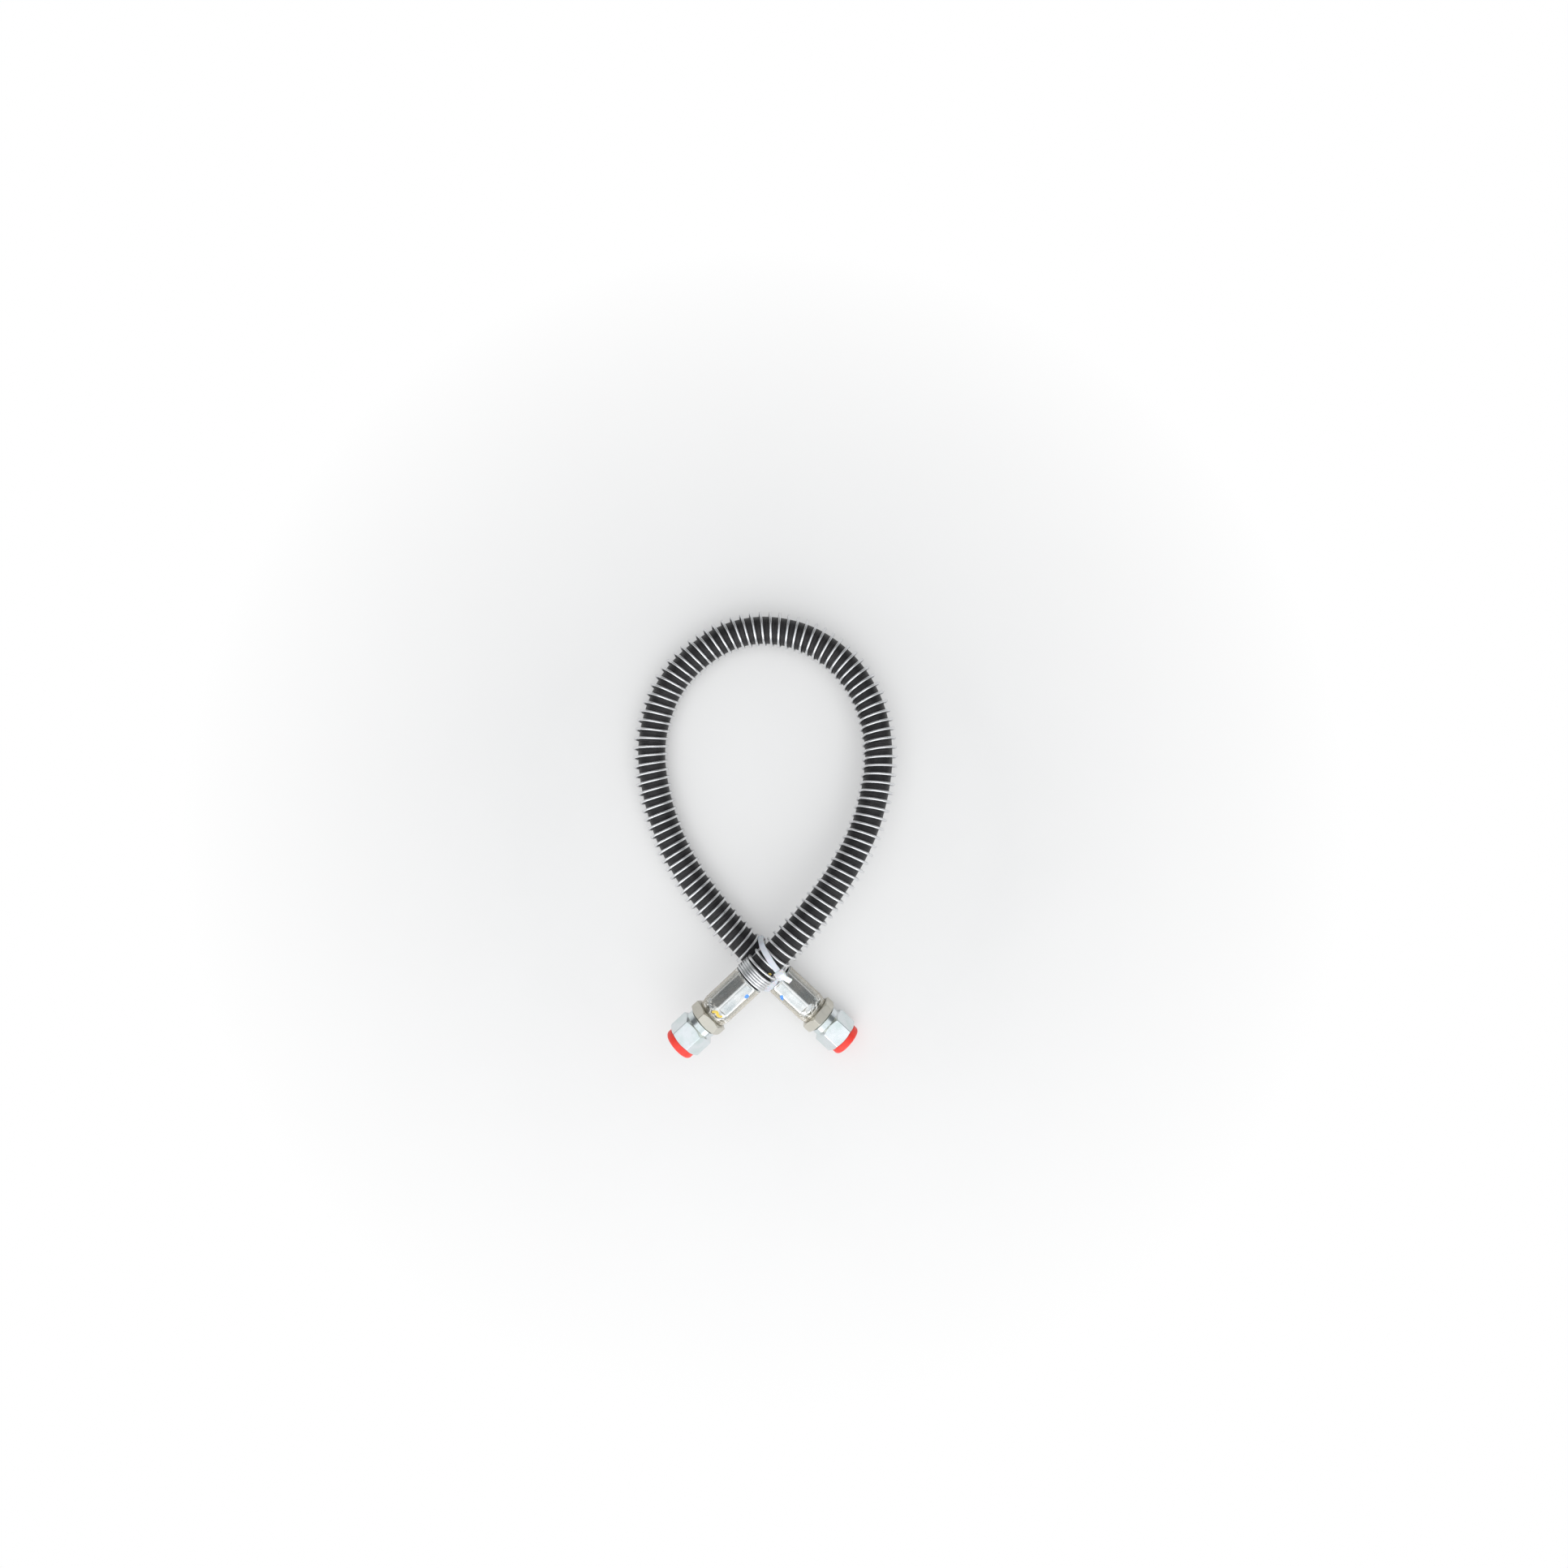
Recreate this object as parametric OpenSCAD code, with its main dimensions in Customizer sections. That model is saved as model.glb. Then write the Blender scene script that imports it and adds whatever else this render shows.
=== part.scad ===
// Spring-guarded hydraulic hose assembly with two crimped swivel fittings,
// bent into a loop, crossed over itself and held at the crossing by a cable tie.
// Millimetres, +Z up. The hose lies on the plane z = 0 and the origin is the
// middle of that footprint. End A is the lower leg, end B crosses over it.

/* [Hose] */
// Bore of the inner rubber tube
hose_bore_d = 12.7; // [11.5:0.1:14]
// Wall of the inner rubber tube
tube_wall = 1.6; // [1.2:0.1:2]
// Wall of each of the two wire braids
braid_wall = 0.7; // [0.5:0.1:0.9]
// Wall of the outer rubber cover
cover_wall = 1.45; // [1.2:0.05:1.8]
// Depth that a crimped ferrule presses into the cover
crimp_squeeze = 0.5; // [0.3:0.05:0.7]

/* [Spring guard] */
// Wire diameter of the spring guard
spring_wire_d = 2; // [1.6:0.1:2.4]
// Radial room between the hose and the spring's wire
spring_room = 0.4; // [0.3:0.05:0.8]
// Number of turns from end to end
spring_turns = 100; // [80:1:100]
// Number of close turns at each end
shut_turns = 4; // [2:1:5]
// Air between two close turns
shut_air = 0.6; // [0.5:0.05:0.9]

/* [Ferrule] */
// Length of the hose inside the ferrule
grip_length = 32; // [28:1:38]
// Wall of the ferrule at its ridges
ferrule_wall = 2; // [1.6:0.1:2.4]
// Depth of the crimped flats
crimp_depth = 0.6; // [0.3:0.05:0.8]
// Number of crimping dies, which is the number of flats
crimp_dies = 8; // [6:1:8]
// Length of the round lip left at the ferrule's mouth
lip_length = 2.4; // [1.5:0.1:4]
// Length of the round shoulder behind the crimped flats
shoulder_length = 6.8; // [6:0.1:9]

/* [Stem] */
// Bore through the stem
stem_bore_d = 9.2; // [8:0.1:9.8]
// Number of barbs on the hose tail
barbs = 5; // [3:1:6]
// Height of a barb above the tail's root
barb_height = 0.6; // [0.3:0.05:0.8]
// Diameter of the neck between ferrule and hexagon
neck_d = 20.4; // [19.6:0.1:22]
// Length of the neck that shows between ferrule and hexagon
neck_length = 2.9; // [2.8:0.1:6]
// Width across flats of the stem's hexagon
stem_af = 27; // [25:0.5:30]
// Length of the stem's hexagon
stem_hex_length = 8.2; // [7:0.1:14]
// Diameter of the shank that the nut turns on
shank_d = 18; // [16.5:0.1:18.6]

/* [Swivel nut] */
// Width across flats of the nut
nut_af = 27; // [26:0.5:30]
// Length of the nut
nut_length = 21.5; // [18:0.5:24]
// Diameter of the nut's round collar
collar_d = 25; // [23.5:0.1:25.6]
// Length of the nut's round collar
collar_length = 4.6; // [3:0.1:6]
// Nominal diameter of the nut's thread
thread_d = 22; // [21:0.1:22.8]
// Pitch of the nut's thread
thread_pitch = 1.5; // [1:0.1:1.8]
// Depth of the plain counterbore at the nut's mouth
counterbore_depth = 4.4; // [3:0.1:6]
// Wire diameter of the ring that keeps the nut on its stem
keeper_wire_d = 1.5; // [1.2:0.1:1.8]

/* [Clear sleeve] */
// Wall of the clear shrunk sleeve
sleeve_wall = 0.55; // [0.4:0.05:0.9]
// Depth of the sleeve's waist over the crimped flats
sleeve_waist = 0.08; // [0:0.01:0.1]

/* [Dust plug] */
// Diameter of the plug's flange
plug_flange_d = 25.8; // [24:0.1:29]
// Length of the plug's flange
plug_flange_length = 6; // [5:0.1:9]
// Rounding of the flange's outer edge
plug_round = 2.6; // [1:0.1:3]
// Length of the spigot inside the nut
plug_spigot_length = 4.1; // [3:0.1:4.2]

/* [Cable tie] */
// Width of the strap
strap_width = 4.6; // [3.6:0.1:5]
// Thickness of the strap
strap_thick = 1.2; // [1:0.1:1.3]
// Room between the strap and the spring guard
strap_room = 0.7; // [0.6:0.05:1]
// Length of the tie's head along the strap
head_length = 7.5; // [6:0.1:9]
// Width of the tie's head
head_width = 8; // [7:0.1:9]
// Height of the tie's head above the strap's inner face
head_height = 4.6; // [4:0.1:6]
// Length of the cut tail that sticks out of the head
tail_length = 6.5; // [4:0.5:10]

/* [Hidden] */
$fn = 96;

// Clearances
touch = 0.02;        // between two layers of the hose
fit = 0.05;          // between pieces that are crimped or pressed together
running = 0.1;       // radial, between the stem's shank and its nut
push_fit = 0.15;     // radial, between the plug's spigot and the counterbore
swivel_gap = 0.6;    // between the stem's hexagon and the nut
seat_gap = 0.1;      // between the nut's mouth and the plug's flange
sleeve_gap = 0.1;    // between the ferrule's ridges and the clear sleeve
butt_gap = 0.3;      // between the spring's last turn and the ferrule

// The guard's curl is an eight-sided path, so its corners stand out to keep its
// flats clear of the hose. The turns on the floor are worn flat this deep.
curl_rings = 8;
wire_r = spring_wire_d / 2;
hose_r = hose_bore_d / 2 + tube_wall + 2 * braid_wall + cover_wall;
coil_r = (hose_r + spring_room + wire_r) / cos(180 / curl_rings);
guard_r = coil_r + wire_r;
worn_flat = 0.5;
rest_z = guard_r - worn_flat;

// Where the two ferrules' mouths lie, and which way their fittings point
mouth_a = [12, -116, 15.7];
mouth_b = [-11, -110.5, 44.6];
angle_a = -43;
angle_b = -137;
way_a = [cos(angle_a), sin(angle_a), 0];
way_b = [cos(angle_b), sin(angle_b), 0];
hex_turn_a = -19;    // turns of the hexagons about their fittings' axes
hex_turn_b = -6;
nut_turn_a = -6;
nut_turn_b = 12;

// The loop between the two straight ends, from end A to end B
loop = [
    [-11, -94.5, 15.7], [-35, -68, 15.2], [-62, -32, 14.4], [-81, 7, rest_z + 0.1],
    [-91, 50, rest_z], [-90, 84, rest_z], [-78, 117, rest_z], [-57, 142, rest_z],
    [-28, 160, rest_z], [3, 165, rest_z + 0.4], [36, 157, 15.6], [64, 137, 18],
    [83, 108, 21.5], [91, 76, 25.5], [90, 44, 29.5], [80, 6, 34.5],
    [61, -30, 39], [36, -63, 42.5], [14, -87, 44.4]
];
straight_end = 14;   // straight stretch between a mouth and the loop
run_on = 10;         // how far the curve's outer points lie past the hose's ends
route = concat(
    [mouth_a + way_a * (grip_length + run_on), mouth_a + way_a * grip_length, mouth_a,
     mouth_a - way_a * straight_end],
    loop,
    [mouth_b - way_b * straight_end, mouth_b, mouth_b + way_b * grip_length,
     mouth_b + way_b * (grip_length + run_on)]
);

function unit(v) = v / norm(v);
function last(list) = list[len(list) - 1];

// Catmull-Rom curve through the inner points of a list, steps samples a span
function spline(p, steps) = [
    for (i = [1 : len(p) - 3], k = [0 : steps - 1])
        let (t = k / steps, a = p[i - 1], b = p[i], c = p[i + 1], d = p[i + 2])
            b + (c - a) * t / 2
            + (2 * a - 5 * b + 4 * c - d) * t * t / 2
            + (3 * b - a - 3 * c + d) * t * t * t / 2,
    p[len(p) - 2]
];

centre = spline(route, 14);
run = [
    for (i = 0, s = 0; i < len(centre);
         s = s + (i + 1 < len(centre) ? norm(centre[i + 1] - centre[i]) : 0), i = i + 1) s
];
run_x = [for (i = [0 : len(centre) - 1]) [run[i], centre[i].x]];
run_y = [for (i = [0 : len(centre) - 1]) [run[i], centre[i].y]];
run_z = [for (i = [0 : len(centre) - 1]) [run[i], centre[i].z]];
hose_length = last(run);
at_mouth_a = grip_length;
at_mouth_b = hose_length - grip_length;

// Point, direction and the two cross directions of the hose's axis at length s
function at(s) = [lookup(s, run_x), lookup(s, run_y), lookup(s, run_z)];
function ahead(s) = unit(at(s + 1.5) - at(s - 1.5));
function aside(s) = unit(cross(ahead(s), [0, 0, 1]));
function below(s) = cross(ahead(s), aside(s));
function around(s, r, a) = at(s) + r * (cos(a) * aside(s) + sin(a) * below(s));

// ---------------------------------------------------------------- hose layers
bore_r = hose_bore_d / 2;
tube_r = bore_r + tube_wall;
braid_r = tube_r + braid_wall;
cover_inner_r = braid_r + braid_wall;
squeezed_r = hose_r - crimp_squeeze;

hose_sides = 12;
hose_spans = 46;
bore_facet_r = bore_r / cos(180 / hose_sides);
swell = 2.5;         // length over which the hose swells out of the ferrule
hose_stations = concat(
    [0, at_mouth_a - 0.5],
    [for (i = [0 : hose_spans])
        at_mouth_a + swell + i * (at_mouth_b - at_mouth_a - 2 * swell) / hose_spans],
    [at_mouth_b + 0.5, hose_length]
);

function cover_outer(s) =
    s < at_mouth_a || s > at_mouth_b ? squeezed_r : hose_r;

// Hollow tube along the hose's axis: rings of the outer skin, then of the inner
module pipe(inner_r, outer) {
    n = len(hose_stations);
    m = hose_sides;
    points = [
        for (s = hose_stations, j = [0 : m - 1]) around(s, outer[0](s), j * 360 / m),
        for (s = hose_stations, j = [0 : m - 1]) around(s, inner_r, j * 360 / m)
    ];
    skin = n * m;
    faces = concat(
        [for (i = [0 : n - 2], j = [0 : m - 1], k = [0, 1])
            let (a = i * m + j, b = i * m + (j + 1) % m)
                k == 0 ? [a, a + m, b + m] : [a, b + m, b]],
        [for (i = [0 : n - 2], j = [0 : m - 1], k = [0, 1])
            let (a = skin + i * m + j, b = skin + i * m + (j + 1) % m)
                k == 0 ? [a, b + m, a + m] : [a, b, b + m]],
        [for (j = [0 : m - 1], k = [0, 1])
            let (a = j, b = (j + 1) % m)
                k == 0 ? [a, b, skin + b] : [a, skin + b, skin + a]],
        [for (j = [0 : m - 1], k = [0, 1])
            let (a = (n - 1) * m + j, b = (n - 1) * m + (j + 1) % m)
                k == 0 ? [a, skin + b, b] : [a, skin + a, skin + b]]
    );
    polyhedron(points = points, faces = faces, convexity = 12);
}

module hose_inner_tube() {
    color([0.13, 0.13, 0.14]) pipe(bore_facet_r, [function (s) tube_r - touch]);
}

module hose_inner_braid() {
    color([0.62, 0.60, 0.55]) pipe(tube_r, [function (s) braid_r - touch]);
}

module hose_outer_braid() {
    color([0.66, 0.64, 0.58]) pipe(braid_r, [function (s) cover_inner_r - touch]);
}

module hose_cover() {
    color([0.16, 0.16, 0.17]) pipe(cover_inner_r, [function (s) cover_outer(s)]);
}

// --------------------------------------------------------------- spring guard
wire_sides = 5;
spring_start = at_mouth_a + butt_gap + wire_r;
spring_end = at_mouth_b - butt_gap - wire_r;
shut_pitch = spring_wire_d + shut_air;
open_pitch = (spring_end - spring_start - 2 * shut_turns * shut_pitch)
    / (spring_turns - 2 * shut_turns);

// Length along the hose at which the spring has made so many turns
function turn_at(t) =
    t < shut_turns ? spring_start + t * shut_pitch
    : t > spring_turns - shut_turns ? spring_end - (spring_turns - t) * shut_pitch
    : spring_start + shut_turns * shut_pitch + (t - shut_turns) * open_pitch;

coil = [for (k = [0 : spring_turns * curl_rings])
    around(turn_at(k / curl_rings), coil_r, k * 360 / curl_rings)];
coil_out = [for (k = [0 : spring_turns * curl_rings])
    unit(coil[k] - at(turn_at(k / curl_rings)))];
// Each end of the wire runs on straight for one wire diameter
wire_path = concat(
    [coil[0] - unit(coil[1] - coil[0]) * spring_wire_d], coil,
    [last(coil) + unit(last(coil) - coil[len(coil) - 2]) * spring_wire_d]
);
wire_out = concat([coil_out[0]], coil_out, [last(coil_out)]);

function wire_way(k) = unit(
    wire_path[min(k + 1, len(wire_path) - 1)] - wire_path[max(k - 1, 0)]);
function wire_ring(k) =
    let (w = wire_way(k), o = unit(wire_out[k] - (wire_out[k] * w) * w), b = cross(w, o))
        [for (j = [0 : wire_sides - 1])
            let (a = j * 360 / wire_sides)
                wire_path[k] + wire_r * (cos(a) * o + sin(a) * b)];
// The turns that the hose lies on are worn flat at the plane z = 0
function on_floor(p) = [p.x, p.y, max(p.z, 0)];

module spring_guard() {
    n = len(wire_path);
    m = wire_sides;
    points = [for (k = [0 : n - 1]) each [for (p = wire_ring(k)) on_floor(p)]];
    faces = concat(
        [for (i = [0 : n - 2], j = [0 : m - 1], k = [0, 1])
            let (a = i * m + j, b = i * m + (j + 1) % m)
                k == 0 ? [a, a + m, b + m] : [a, b + m, b]],
        [for (j = [1 : m - 2]) [0, j, j + 1]],
        [for (j = [1 : m - 2]) [(n - 1) * m, (n - 1) * m + j + 1, (n - 1) * m + j]]
    );
    color([0.80, 0.81, 0.82]) polyhedron(points = points, faces = faces, convexity = 20);
}

// Least distance between two stretches of wire that are half a turn or more apart
function least_gap() = min([
    for (i = [0 : len(coil) - 1 - curl_rings])
        min([for (j = [i + curl_rings - 3 : len(coil) - 1]) norm(coil[i] - coil[j])])
]) - spring_wire_d;

// ------------------------------------------------------------------- fittings
// A fitting is drawn along +X from its ferrule's mouth, then set on its end
module at_end_a() {
    translate(mouth_a) rotate([0, 0, angle_a]) children();
}

module at_end_b() {
    translate(mouth_b) rotate([0, 0, angle_b]) children();
}

// Solid of revolution about X from points [x, r]
module turned(profile) {
    rotate([0, 90, 0]) rotate_extrude() polygon([for (p = profile) [p[1], p[0]]]);
}

// Hexagonal bar along X, flat side up and then turned about X
module hex_bar(x0, x1, af, turn) {
    translate([x0, 0, 0]) rotate([turn, 0, 0]) rotate([0, 90, 0])
        rotate([0, 0, 30]) cylinder(h = x1 - x0, r = af / 2 / cos(30), $fn = 6);
}

ferrule_bore_r = squeezed_r + fit;
ridge_r = ferrule_bore_r + ferrule_wall;
flat_r = ridge_r - crimp_depth;
crimp_end = grip_length - 2.5;
shoulder_end = crimp_end + shoulder_length;
hose_stop = grip_length + 0.5;
catch_x0 = hose_stop + 1.5;
catch_x1 = catch_x0 + 2;
catch_r = bore_r + 1.2;
hex_x0 = shoulder_end + neck_length;
hex_x1 = hex_x0 + stem_hex_length;
nut_x0 = hex_x1 + swivel_gap;
nut_x1 = nut_x0 + nut_length;
keeper_x = nut_x0 + 2.4;
shank_reach = 7.3;   // how far the stem's shank reaches into the nut
keeper_r = keeper_wire_d / 2;
shank_r = shank_d / 2;
shank_x1 = nut_x0 + shank_reach;
neck_r = neck_d / 2;
thread_r = (thread_d - 1.0825 * thread_pitch) / 2;
thread_x0 = shank_x1 + 0.3;
counterbore_r = thread_d / 2 + 0.1;
counterbore_x = nut_x1 - counterbore_depth;
flat_half = sqrt(ridge_r * ridge_r - flat_r * flat_r);

module ferrule() {
    color([0.74, 0.75, 0.76]) difference() {
        turned([
            [0, ferrule_bore_r + 0.4], [0.5, ridge_r], [shoulder_end - 3.6, ridge_r],
            [shoulder_end - 1.9, ridge_r - 0.5], [shoulder_end - 0.6, ridge_r - 1.3],
            [shoulder_end, neck_r + 0.2], [shoulder_end, neck_r + fit],
            [catch_x1 + 0.2, neck_r + fit], [catch_x1 - fit, catch_r + fit + 0.1],
            [catch_x1 - fit, catch_r + fit], [catch_x0 + fit, catch_r + fit],
            [catch_x0 + fit, ferrule_bore_r - 1.2], [hose_stop + 0.1, ferrule_bore_r - 1],
            [hose_stop, ferrule_bore_r], [0.4, ferrule_bore_r]
        ]);
        for (i = [0 : crimp_dies - 1])
            rotate([(i + 0.5) * 360 / crimp_dies, 0, 0])
                translate([lip_length, -flat_half - 1, flat_r])
                    cube([crimp_end - lip_length, 2 * flat_half + 2, crimp_depth + 1]);
    }
}

barb_root_r = bore_r - fit - barb_height;
barb_pitch = (hose_stop - 5) / barbs;
barb_profile = [for (i = [0 : barbs - 1]) each [
    [3 + i * barb_pitch, barb_root_r],
    [3 + (i + 0.75) * barb_pitch, bore_r - fit],
    [3 + (i + 0.9) * barb_pitch, bore_r - fit]
]];
flare_depth = (shank_r - 0.6 - stem_bore_d / 2) / tan(37);

// Barbed tail, the groove that the ferrule's lip catches in, and the neck
module stem_tail() {
    turned(concat(
        [[1.5, stem_bore_d / 2], [1.5, barb_root_r - 0.3]],
        barb_profile,
        [[3 + barbs * barb_pitch, barb_root_r], [hose_stop + fit, barb_root_r],
         [hose_stop + fit, catch_r + 0.9], [catch_x0, catch_r + 0.9],
         [catch_x0, catch_r], [catch_x1, catch_r],
         [catch_x1 + 0.5, neck_r], [shoulder_end + 0.8, neck_r],
         [shoulder_end + 1.1, neck_r - 0.5], [shoulder_end + 1.5, neck_r - 0.5],
         [shoulder_end + 1.8, neck_r], [hex_x0 - 0.9, neck_r],
         [hex_x0 - 0.6, neck_r - 0.5], [hex_x0 + 0.1, neck_r - 0.5],
         [hex_x0 + 0.1, stem_bore_d / 2]]
    ));
}

module stem(turn) {
    color([0.72, 0.70, 0.62]) union() {
        stem_tail();
        difference() {
            intersection() {
                hex_bar(hex_x0, hex_x1, stem_af, turn);
                turned([
                    [hex_x0, 0], [hex_x0, stem_af / 2 - 0.4],
                    [hex_x0 + 1.3, stem_af / 2 / cos(30)],
                    [hex_x1 - 1.3, stem_af / 2 / cos(30)],
                    [hex_x1, stem_af / 2 - 0.4], [hex_x1, 0]
                ]);
            }
            turned([[hex_x0 - 1, 0], [hex_x0 - 1, stem_bore_d / 2],
                    [hex_x1 + 1, stem_bore_d / 2], [hex_x1 + 1, 0]]);
        }
        difference() {
            turned([
                [hex_x1 - 0.1, stem_bore_d / 2], [hex_x1 - 0.1, shank_r],
                [shank_x1 - 0.4, shank_r], [shank_x1, shank_r - 0.4],
                [shank_x1, shank_r - 0.6], [shank_x1 - flare_depth, stem_bore_d / 2]
            ]);
            translate([keeper_x, 0, 0]) ring(shank_r + running / 2, keeper_r + fit);
        }
    }
}

// Round wire ring about X
module ring(r, wire) {
    rotate([0, 90, 0]) rotate_extrude() translate([r, 0]) circle(r = wire, $fn = 24);
}

module keeper_ring() {
    color([0.55, 0.55, 0.56]) translate([keeper_x, 0, 0])
        ring(shank_r + running / 2, keeper_r);
}

module swivel_nut(turn) {
    corner_r = nut_af / 2 / cos(30);
    color([0.78, 0.80, 0.82]) rotate([turn, 0, 0]) difference() {
        intersection() {
            hex_bar(nut_x0, nut_x1, nut_af, 0);
            turned([
                [nut_x0, 0], [nut_x0, collar_d / 2 - 0.4], [nut_x0 + 0.4, collar_d / 2],
                [nut_x0 + collar_length, collar_d / 2],
                [nut_x0 + collar_length + 2.2, corner_r],
                [nut_x1 - 1.2, corner_r], [nut_x1, nut_af / 2 - 0.3], [nut_x1, 0]
            ]);
        }
        turned([
            [nut_x0 - 1, 0], [nut_x0 - 1, shank_r + running],
            [thread_x0, shank_r + running], [thread_x0, thread_r],
            [counterbore_x, thread_r], [counterbore_x, counterbore_r],
            [nut_x1 + 1, counterbore_r], [nut_x1 + 1, 0]
        ]);
        translate([keeper_x, 0, 0]) ring(shank_r + running / 2, keeper_r + fit);
    }
}

sleeve_r = ridge_r + sleeve_gap;

module clear_sleeve() {
    end_r = neck_r + 1;
    inner = [
        [0.3, sleeve_r], [lip_length + 1, sleeve_r],
        [lip_length + 5, sleeve_r - sleeve_waist],
        [crimp_end - 4, sleeve_r - sleeve_waist],
        [crimp_end, sleeve_r], [shoulder_end - 3, sleeve_r],
        [shoulder_end, sleeve_r - 0.6], [hex_x0 - fit, end_r]
    ];
    color([0.86, 0.84, 0.76, 0.4]) turned(concat(
        inner,
        [for (i = [len(inner) - 1 : -1 : 0]) [inner[i][0], inner[i][1] + sleeve_wall]]
    ));
}

module dust_plug() {
    r = plug_flange_d / 2;
    x0 = nut_x1 + seat_gap;
    x1 = x0 + plug_flange_length;
    spigot_r = counterbore_r - push_fit;
    color([0.90, 0.16, 0.10]) turned(concat(
        [[nut_x1 - plug_spigot_length, 0], [nut_x1 - plug_spigot_length, spigot_r - 0.6],
         [nut_x1 - plug_spigot_length + 0.8, spigot_r], [x0, spigot_r],
         [x0, r - 0.4], [x0 + 0.4, r]],
        [for (a = [0 : 15 : 90])
            [x1 - plug_round + plug_round * sin(a), r - plug_round + plug_round * cos(a)]],
        [[x1, r - plug_round - 0.6], [x1 - 1.2, r - plug_round - 1.4], [x1 - 1.2, 0]]
    ));
}

// ------------------------------------------------------------------ cable tie
// The strap passes over leg B, down beside it, over the shoulder of leg A,
// under leg A on a slant and up through the loop again.
strap_r = guard_r + strap_room;
over_at = [6.3, -94.4, mouth_b.z];
over_way = unit([0.546, -0.838, 0]);
under_at = [-1.5, -103.4, mouth_a.z];
under_slant = 0.731;  // cosine between the strap's run and square across leg A
side_b = [-sin(angle_b), cos(angle_b), 0];
side_a = [-sin(angle_a), cos(angle_a), 0];
up = [0, 0, 1];
floor_room = 0.05;
under_r = mouth_a.z - floor_room - strap_thick;

over_pass = [for (a = [180 : -18 : 0])
    [over_at + strap_r * (cos(a) * over_way + sin(a) * up),
     cos(a) * side_b + sin(a) * up]];
under_pass = [for (a = [180 : 18 : 360])
    [under_at + under_r * (cos(a) / under_slant * [0, 1, 0] + sin(a) * up),
     cos(a) * side_a + sin(a) * up]];
strap_ring = concat(
    over_pass,
    [[[11.5, -112.5, 35.5], [0.5, -0.7, 0.5]], [[5, -120, 29.5], [-0.2, -0.75, 0.6]],
     [[0.5, -123.8, 23], [-0.6, -0.8, 0.2]]],
    under_pass,
    [[[-2.2, -80.2, 26], [0.35, 0.9, 0]], [[-2.4, -80, 34], [-0.35, 0.9, 0]]]
);

module strap() {
    n = len(strap_ring);
    points = [for (i = [0 : n - 1])
        let (p = strap_ring[i][0], w = strap_ring[(i + 1) % n][0] - strap_ring[(i + n - 1) % n][0],
             o = unit(strap_ring[i][1] - (strap_ring[i][1] * unit(w)) * unit(w)),
             b = unit(cross(o, unit(w))) * strap_width / 2)
            each [p - b, p + b, p + b + o * strap_thick, p - b + o * strap_thick]];
    faces = [for (i = [0 : n - 1], j = [0 : 3], k = [0, 1])
        let (a = i * 4 + j, b = i * 4 + (j + 1) % 4,
             c = ((i + 1) % n) * 4 + j, d = ((i + 1) % n) * 4 + (j + 1) % 4)
            k == 0 ? [a, c, d] : [a, d, b]];
    polyhedron(points = points, faces = faces, convexity = 10);
}

head_angle = 42;     // place of the head on the strap's pass over leg B
head_at = over_at + (strap_r + head_height / 2) * (cos(head_angle) * over_way + sin(head_angle) * up);

module cable_tie() {
    color([0.90, 0.91, 0.92]) union() {
        strap();
        translate(head_at) rotate([0, 0, atan2(over_way.y, over_way.x)])
            rotate([0, 90 - head_angle, 0]) tie_head();
    }
}

// Tapered head with the strap's cut tail, drawn with the strap running along X
module tie_head() {
    hull() {
        cube([head_length, head_width, head_height * 0.5], center = true);
        cube([head_length - 2, head_width - 2, head_height], center = true);
    }
    rotate([0, 0, 26]) rotate([0, -28, 0])
        translate([0, -strap_width / 2, -strap_thick / 2])
            cube([head_length / 2 + tail_length, strap_width, strap_thick]);
}

hose_inner_tube();
hose_inner_braid();
hose_outer_braid();
hose_cover();
spring_guard();
at_end_a() ferrule();  // ferrule_a
at_end_b() ferrule();  // ferrule_b
at_end_a() stem(hex_turn_a);  // stem_a
at_end_b() stem(hex_turn_b);  // stem_b
at_end_a() swivel_nut(nut_turn_a);  // swivel_nut_a
at_end_b() swivel_nut(nut_turn_b);  // swivel_nut_b
at_end_a() keeper_ring();  // keeper_ring_a
at_end_b() keeper_ring();  // keeper_ring_b
at_end_a() clear_sleeve();  // clear_sleeve_a
at_end_b() clear_sleeve();  // clear_sleeve_b
at_end_a() dust_plug();  // dust_plug_a
at_end_b() dust_plug();  // dust_plug_b
cable_tie();

echo(hose_length = hose_length, open_pitch = open_pitch);
echo(least_gap_of_the_spring_to_itself = least_gap());
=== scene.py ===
"""Looks of a spring-guarded hydraulic hose assembly, around its packed CAD model.

The hose is bent into a loop and crosses itself, and a cable tie holds the
crossing. Each end has a crimped ferrule under a clear sleeve, a stem with a
hexagon, a swivel nut and a red dust plug. All lengths are in metres, and the
tables of places and profiles below are in millimetres and scaled by MM.
"""

import math

import bmesh
import bpy
import numpy as np
from mathutils import Matrix, Vector


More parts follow.
